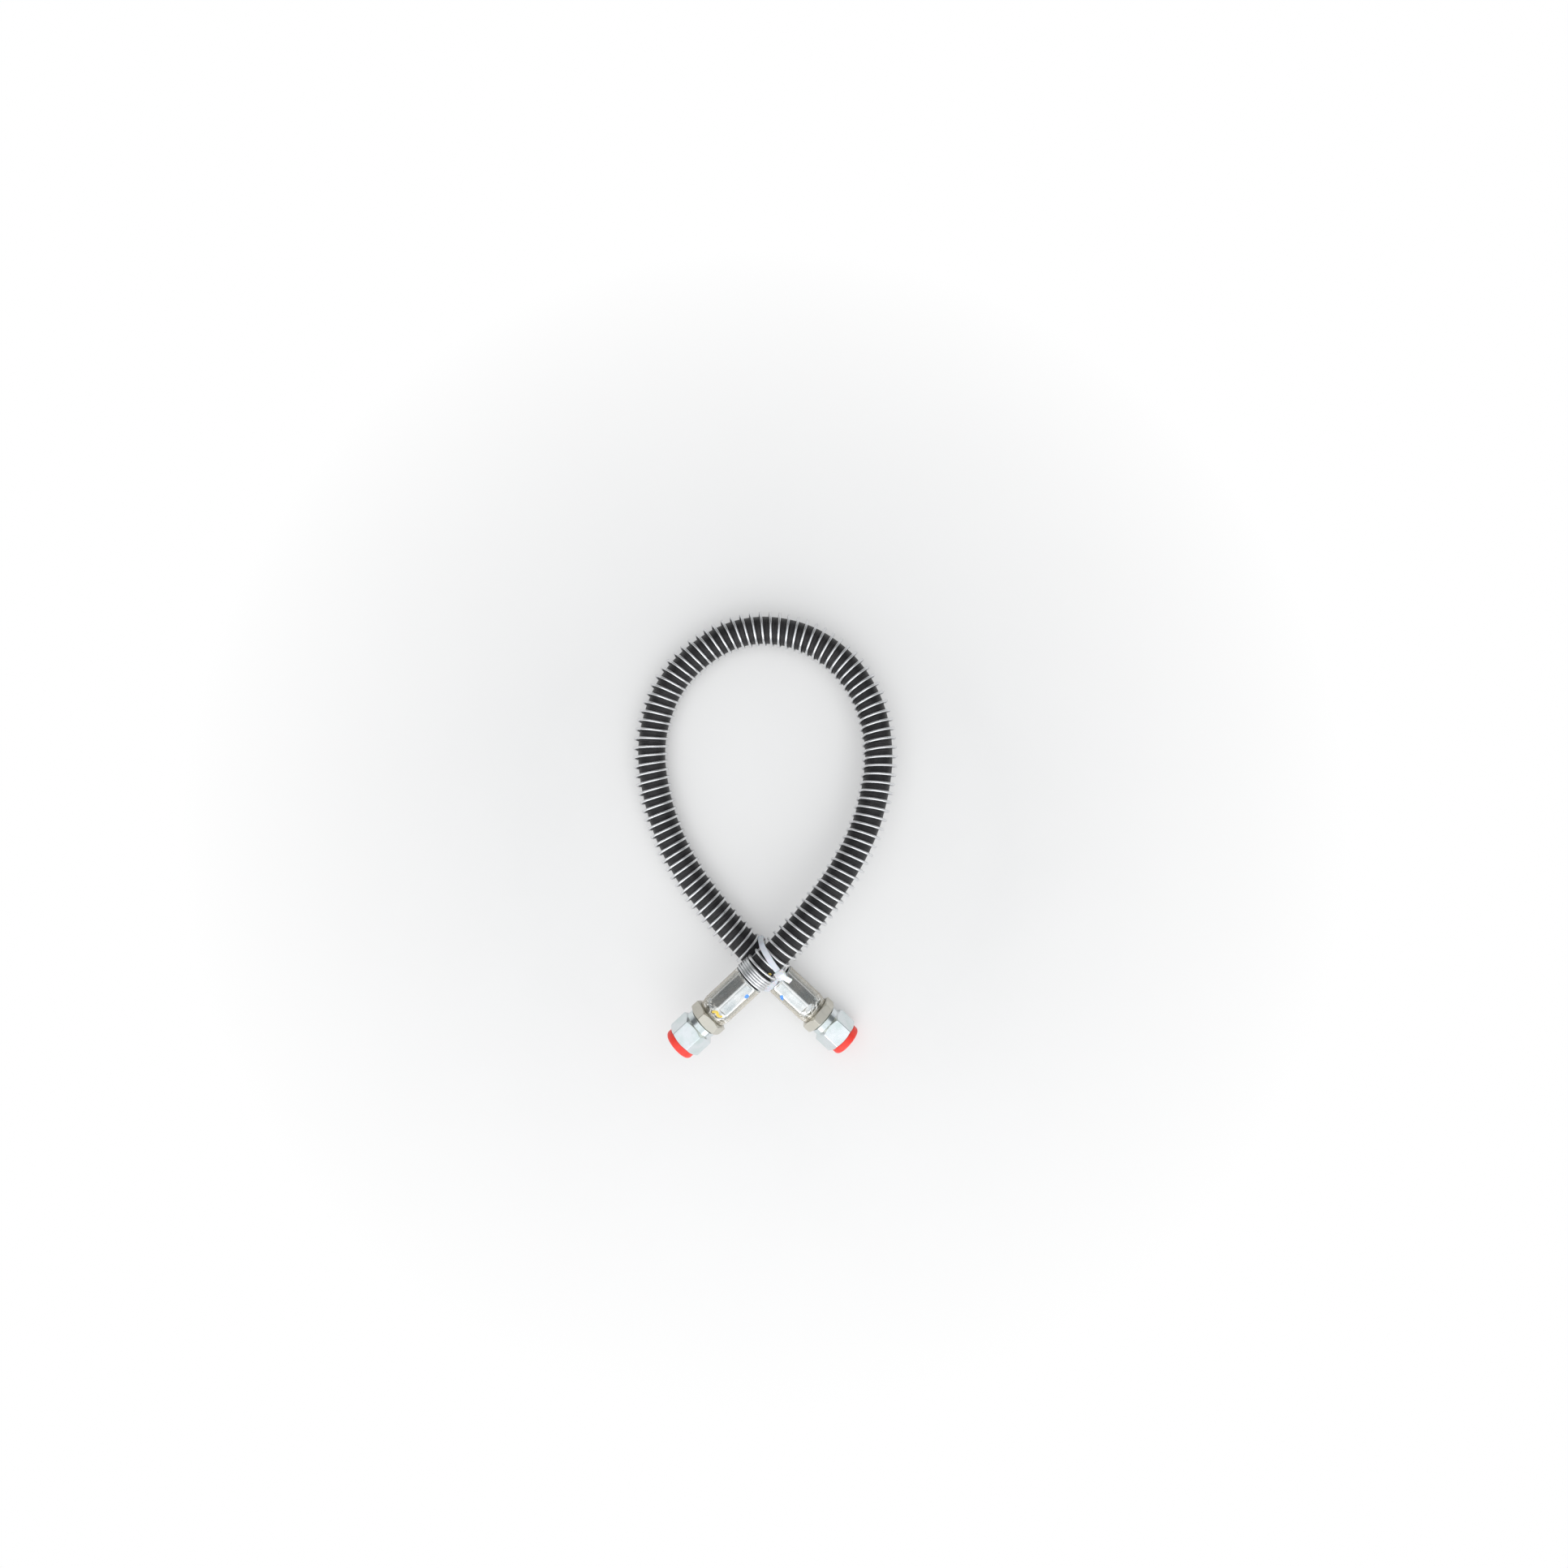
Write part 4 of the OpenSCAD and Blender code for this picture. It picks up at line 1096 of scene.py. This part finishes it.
class HOSE_OT_ferrules(bpy.types.Operator):
    """Makes the two crimped ferrules"""

    bl_idname = "hose.ferrules"
    bl_label = "Ferrules"

    def execute(self, context):
        s = context.scene.fitting_settings
        metal = plated_metal("Ferrule zinc", s.ferrule, (0.50, 0.56, 0.58), 0.22, 0.9, 0.8,
                             900.0, 0.00004, 0.35, True)
        for end in "ab":
            piece = turned_piece(f"ferrule_shell_{end}", *ferrule_profiles(end, s.ridge / MM),
                                 metal, 35)
            self.mark_ridge_highlights(piece.data, FLAT_TURNS[end])
            fitted(piece, end, "hose_assembly", f"ferrule_{end}")
        return {"FINISHED"}

    @staticmethod
    def mark_ridge_highlights(mesh, turn):
        """Keeps how near each point is to a ridge, where a highlight is painted on the metal."""
        p = np.array([v.co for v in mesh.vertices]) / MM
        off = np.degrees(np.arctan2(-p[:, 1], p[:, 2])) - turn + RIDGE_AT
        off = off % (2 * RIDGE_AT) - RIDGE_AT
        near = np.exp(-(((RIDGE_AT - np.abs(off)) / 2.2) ** 2))
        near *= (p[:, 0] > SEAM_X0) & (p[:, 0] < SEAM_X1) & (np.hypot(p[:, 1], p[:, 2]) > 11.0)
        mesh.attributes.new("ridge", "FLOAT", "POINT").data.foreach_set(
            "value", near.astype(np.float32))


class HOSE_OT_stems(bpy.types.Operator):
    """Makes the two stems with their hexagons"""

    bl_idname = "hose.stems"
    bl_label = "Stems"

    def execute(self, context):
        s = context.scene.fitting_settings
        metal = plated_metal("Stem zinc", s.stem, (0.60, 0.59, 0.53), 0.33, 0.6, 0.4, 3200.0)
        for end in "ab":
            piece = turned_piece(f"stem_body_{end}",
                                 *stem_profiles(HEX_TURNS[end], s.corner / MM), metal, 22)
            fitted(piece, end, "hose_assembly", f"stem_{end}")
        return {"FINISHED"}


class HOSE_OT_nuts(bpy.types.Operator):
    """Makes the two swivel nuts with their threads"""

    bl_idname = "hose.nuts"
    bl_label = "Swivel nuts"

    def execute(self, context):
        s = context.scene.fitting_settings
        metal = plated_metal("Nut zinc", s.nut, (0.68, 0.78, 0.77), 0.20, 0.9, 0.5, 2200.0)
        for end in "ab":
            piece = turned_piece(f"nut_body_{end}",
                                 *nut_profiles(NUT_TURNS[end], s.corner / MM), metal, 22)
            fitted(piece, end, f"nut_{end}", f"swivel_nut_{end}")
        return {"FINISHED"}


class HOSE_OT_sleeves(bpy.types.Operator):
    """Makes the two clear shrunk sleeves"""

    bl_idname = "hose.sleeves"
    bl_label = "Clear sleeves"

    def execute(self, context):
        film = clear_film(context.scene.trim_settings.sleeve)
        for end in "ab":
            piece = turned_piece(f"sleeve_film_{end}", *sleeve_profiles(end), film, 60)
            fitted(piece, end, "hose_assembly", f"clear_sleeve_{end}")
        return {"FINISHED"}


class HOSE_OT_plugs(bpy.types.Operator):
    """Makes the two red dust plugs"""

    bl_idname = "hose.plugs"
    bl_label = "Dust plugs"

    def execute(self, context):
        s = context.scene.trim_settings
        red = moulded_plastic("Red plastic", s.plug, (0.86, 0.045, 0.03), 0.38, 0.35)
        angles = np.arange(0, 360, 3.75)
        for end in "ab":
            piece = turned_piece(f"plug_body_{end}", angles, [plug_outline()] * len(angles),
                                 red, 40)
            fitted(piece, end, f"plug_{end}", f"dust_plug_{end}")
        return {"FINISHED"}


class HOSE_OT_tie(bpy.types.Operator):
    """Makes the cable tie: its strap round both legs, its head and its cut tail"""

    bl_idname = "hose.tie"
    bl_label = "Cable tie"

    def execute(self, context):
        white = context.scene.trim_settings.tie
        nylon = moulded_plastic("Nylon", white, tuple(c * 0.9 for c in white), 0.30, 0.35)
        # Painted shade: the strap is the head's white nylon painted darker and bluer, as a shaded
        # copy of it
        darkened = moulded_plastic("Nylon strap in painted shade", (0.68, 0.71, 0.77), (0.60, 0.63, 0.69), 0.30, 0.2)
        rings = strap_rings()
        faces = grid_faces(*rings.shape[:2], True, True)
        strap = new_piece("tie_strap", rings.reshape(-1, 3) * MM, faces, darkened, 40, outward=True)
        tilt = math.radians(HEAD_ANGLE)
        turn = (Matrix.Rotation(math.atan2(OVER_WAY[1], OVER_WAY[0]), 4, "Z")
                @ Matrix.Rotation(math.radians(90 - HEAD_ANGLE), 4, "Y"))
        at = OVER_AT + HEAD_OUT * (math.cos(tilt) * OVER_WAY + math.sin(tilt) * UP)
        at = Matrix.Translation(Vector(at) * MM)
        points, faces = head_shell()
        head = new_piece("tie_head", points * MM, faces, nylon, 40, outward=True)
        head.matrix_world = at @ turn
        rows = toothed_tail()
        count, sides = rows.shape[:2]
        faces = grid_faces(count, sides, False, True)
        faces.append(tuple(range(sides))[::-1])
        faces.append(tuple(range((count - 1) * sides, count * sides)))
        tail = new_piece("tie_tail", rows.reshape(-1, 3) * MM, faces, nylon, 40, outward=True)
        lean = (Matrix.Rotation(math.radians(TAIL_ASIDE), 4, "Z")
                @ Matrix.Rotation(math.radians(-TAIL_UP), 4, "Y"))
        tail.matrix_world = at @ (turn @ lean)
        for piece in (strap, head, tail):
            stands_for(piece, "hose_assembly", "cable_tie")
        return {"FINISHED"}


class HOSE_OT_marks(bpy.types.Operator):
    """Dabs the paint marks of the assembly's inspection on the sleeves and the hose"""

    bl_idname = "hose.marks"
    bl_label = "Paint marks"

    def execute(self, context):
        s = context.scene.trim_settings
        blue = paint_mark("Blue paint", s.blue_paint)
        yellow = paint_mark("Yellow paint", s.yellow_paint)
        for name, end, paint, radius, along, angle, outline in (
                ("mark_blue_a", "a", blue, SLEEVE_SKIN_R, 10.7, 40.5,
                 wavy_outline(2.6, 1.7, 42, 3)),
                ("mark_blue_b", "b", blue, SLEEVE_SKIN_R, 8.2, -31.0,
                 wavy_outline(2.1, 1.6, -40, 5)),
                ("mark_yellow_hose", "b", yellow, HOSE_SKIN_R, -15.4, -38.5,
                 wavy_outline(1.4, 1.5, 0, 9))):
            rows = [[(along + x, radius + lift, angle + math.degrees(y / radius))
                     for x, y in row] for row, lift in blob_rings(outline)]
            self.lay(name, end, paint, rows, True)
        self.lay("mark_yellow_b", "b", yellow, stroke_rows(), False)
        return {"FINISHED"}

    @staticmethod
    def lay(name, end, paint, rows, closed):
        """Lays rows of (along, radius, angle) points on a fitting's skin."""
        p = np.array(rows)
        faces = grid_faces(*p.shape[:2], False, closed)
        piece = new_piece(name, round_x(p[..., 0], p[..., 1], p[..., 2]) * MM, faces, paint, 40,
                          outward=True)
        piece.visible_shadow = piece.visible_glossy = False
        set_on_end(piece, end)
        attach(piece, "hose_assembly")


class HOSE_OT_inner(bpy.types.Operator):
    """Gives the pieces that stay as packed their materials: the inner tube, braids and rings"""

    bl_idname = "hose.inner"
    bl_label = "Inner layers"

    def execute(self, context):
        rubber, braid = plain_rubber(), braid_steel()
        ring = plated_metal("Keeper ring wire", (0.5, 0.5, 0.5), (0.42, 0.42, 0.43), 0.3)
        kept = {
            "hose_inner_tube": rubber, "hose_inner_braid": braid, "hose_outer_braid": braid,
            "keeper_ring_a": ring, "keeper_ring_b": ring,
        }
        for name, material in kept.items():
            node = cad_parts[name]
            if not node.material_slots:
                raise RuntimeError(f"{name} has no material slot")
            for slot in node.material_slots:
                slot.material = material
        return {"FINISHED"}


class HOSE_OT_cord(bpy.types.Operator):
    """Takes the stored line of the hose's axis off the hose skin again"""

    bl_idname = "hose.cord"
    bl_label = "Flexible length"

    def execute(self, context):
        skin = bpy.data.objects["hose_skin"]
        del skin["line"]
        return {"FINISHED"}


class HOSE_PT_panel(bpy.types.Panel):
    """Lists the steps that build the hose assembly, and its settings"""

    bl_idname = "HOSE_PT_panel"
    bl_label = "Hose assembly"
    bl_space_type = "VIEW_3D"
    bl_region_type = "UI"
    bl_category = "Hose"

    def draw(self, context):
        for step in STEPS:
            self.layout.operator(step.bl_idname)
        for name, group in SETTINGS.items():
            box = self.layout.box()
            box.label(text=group.__doc__)
            for key in group.__annotations__:
                box.prop(getattr(context.scene, name), key)


STEPS = (
    HOSE_OT_stage, HOSE_OT_hose, HOSE_OT_spring, HOSE_OT_ferrules, HOSE_OT_stems,
    HOSE_OT_nuts, HOSE_OT_sleeves, HOSE_OT_plugs, HOSE_OT_tie, HOSE_OT_marks,
    HOSE_OT_inner, HOSE_OT_cord,
)


def register():
    for group in SETTINGS.values():
        bpy.utils.register_class(group)
    for name, group in SETTINGS.items():
        setattr(bpy.types.Scene, name, bpy.props.PointerProperty(type=group))
    for step in (*STEPS, HOSE_PT_panel):
        bpy.utils.register_class(step)


def unregister():
    for step in reversed((*STEPS, HOSE_PT_panel)):
        bpy.utils.unregister_class(step)
    for name, group in SETTINGS.items():
        delattr(bpy.types.Scene, name)
        bpy.utils.unregister_class(group)


def main():
    register()
    for step in STEPS:
        group, name = step.bl_idname.split(".")
        getattr(getattr(bpy.ops, group), name)()
    bpy.context.view_layer.update()


if __name__ == "__main__":
    main()
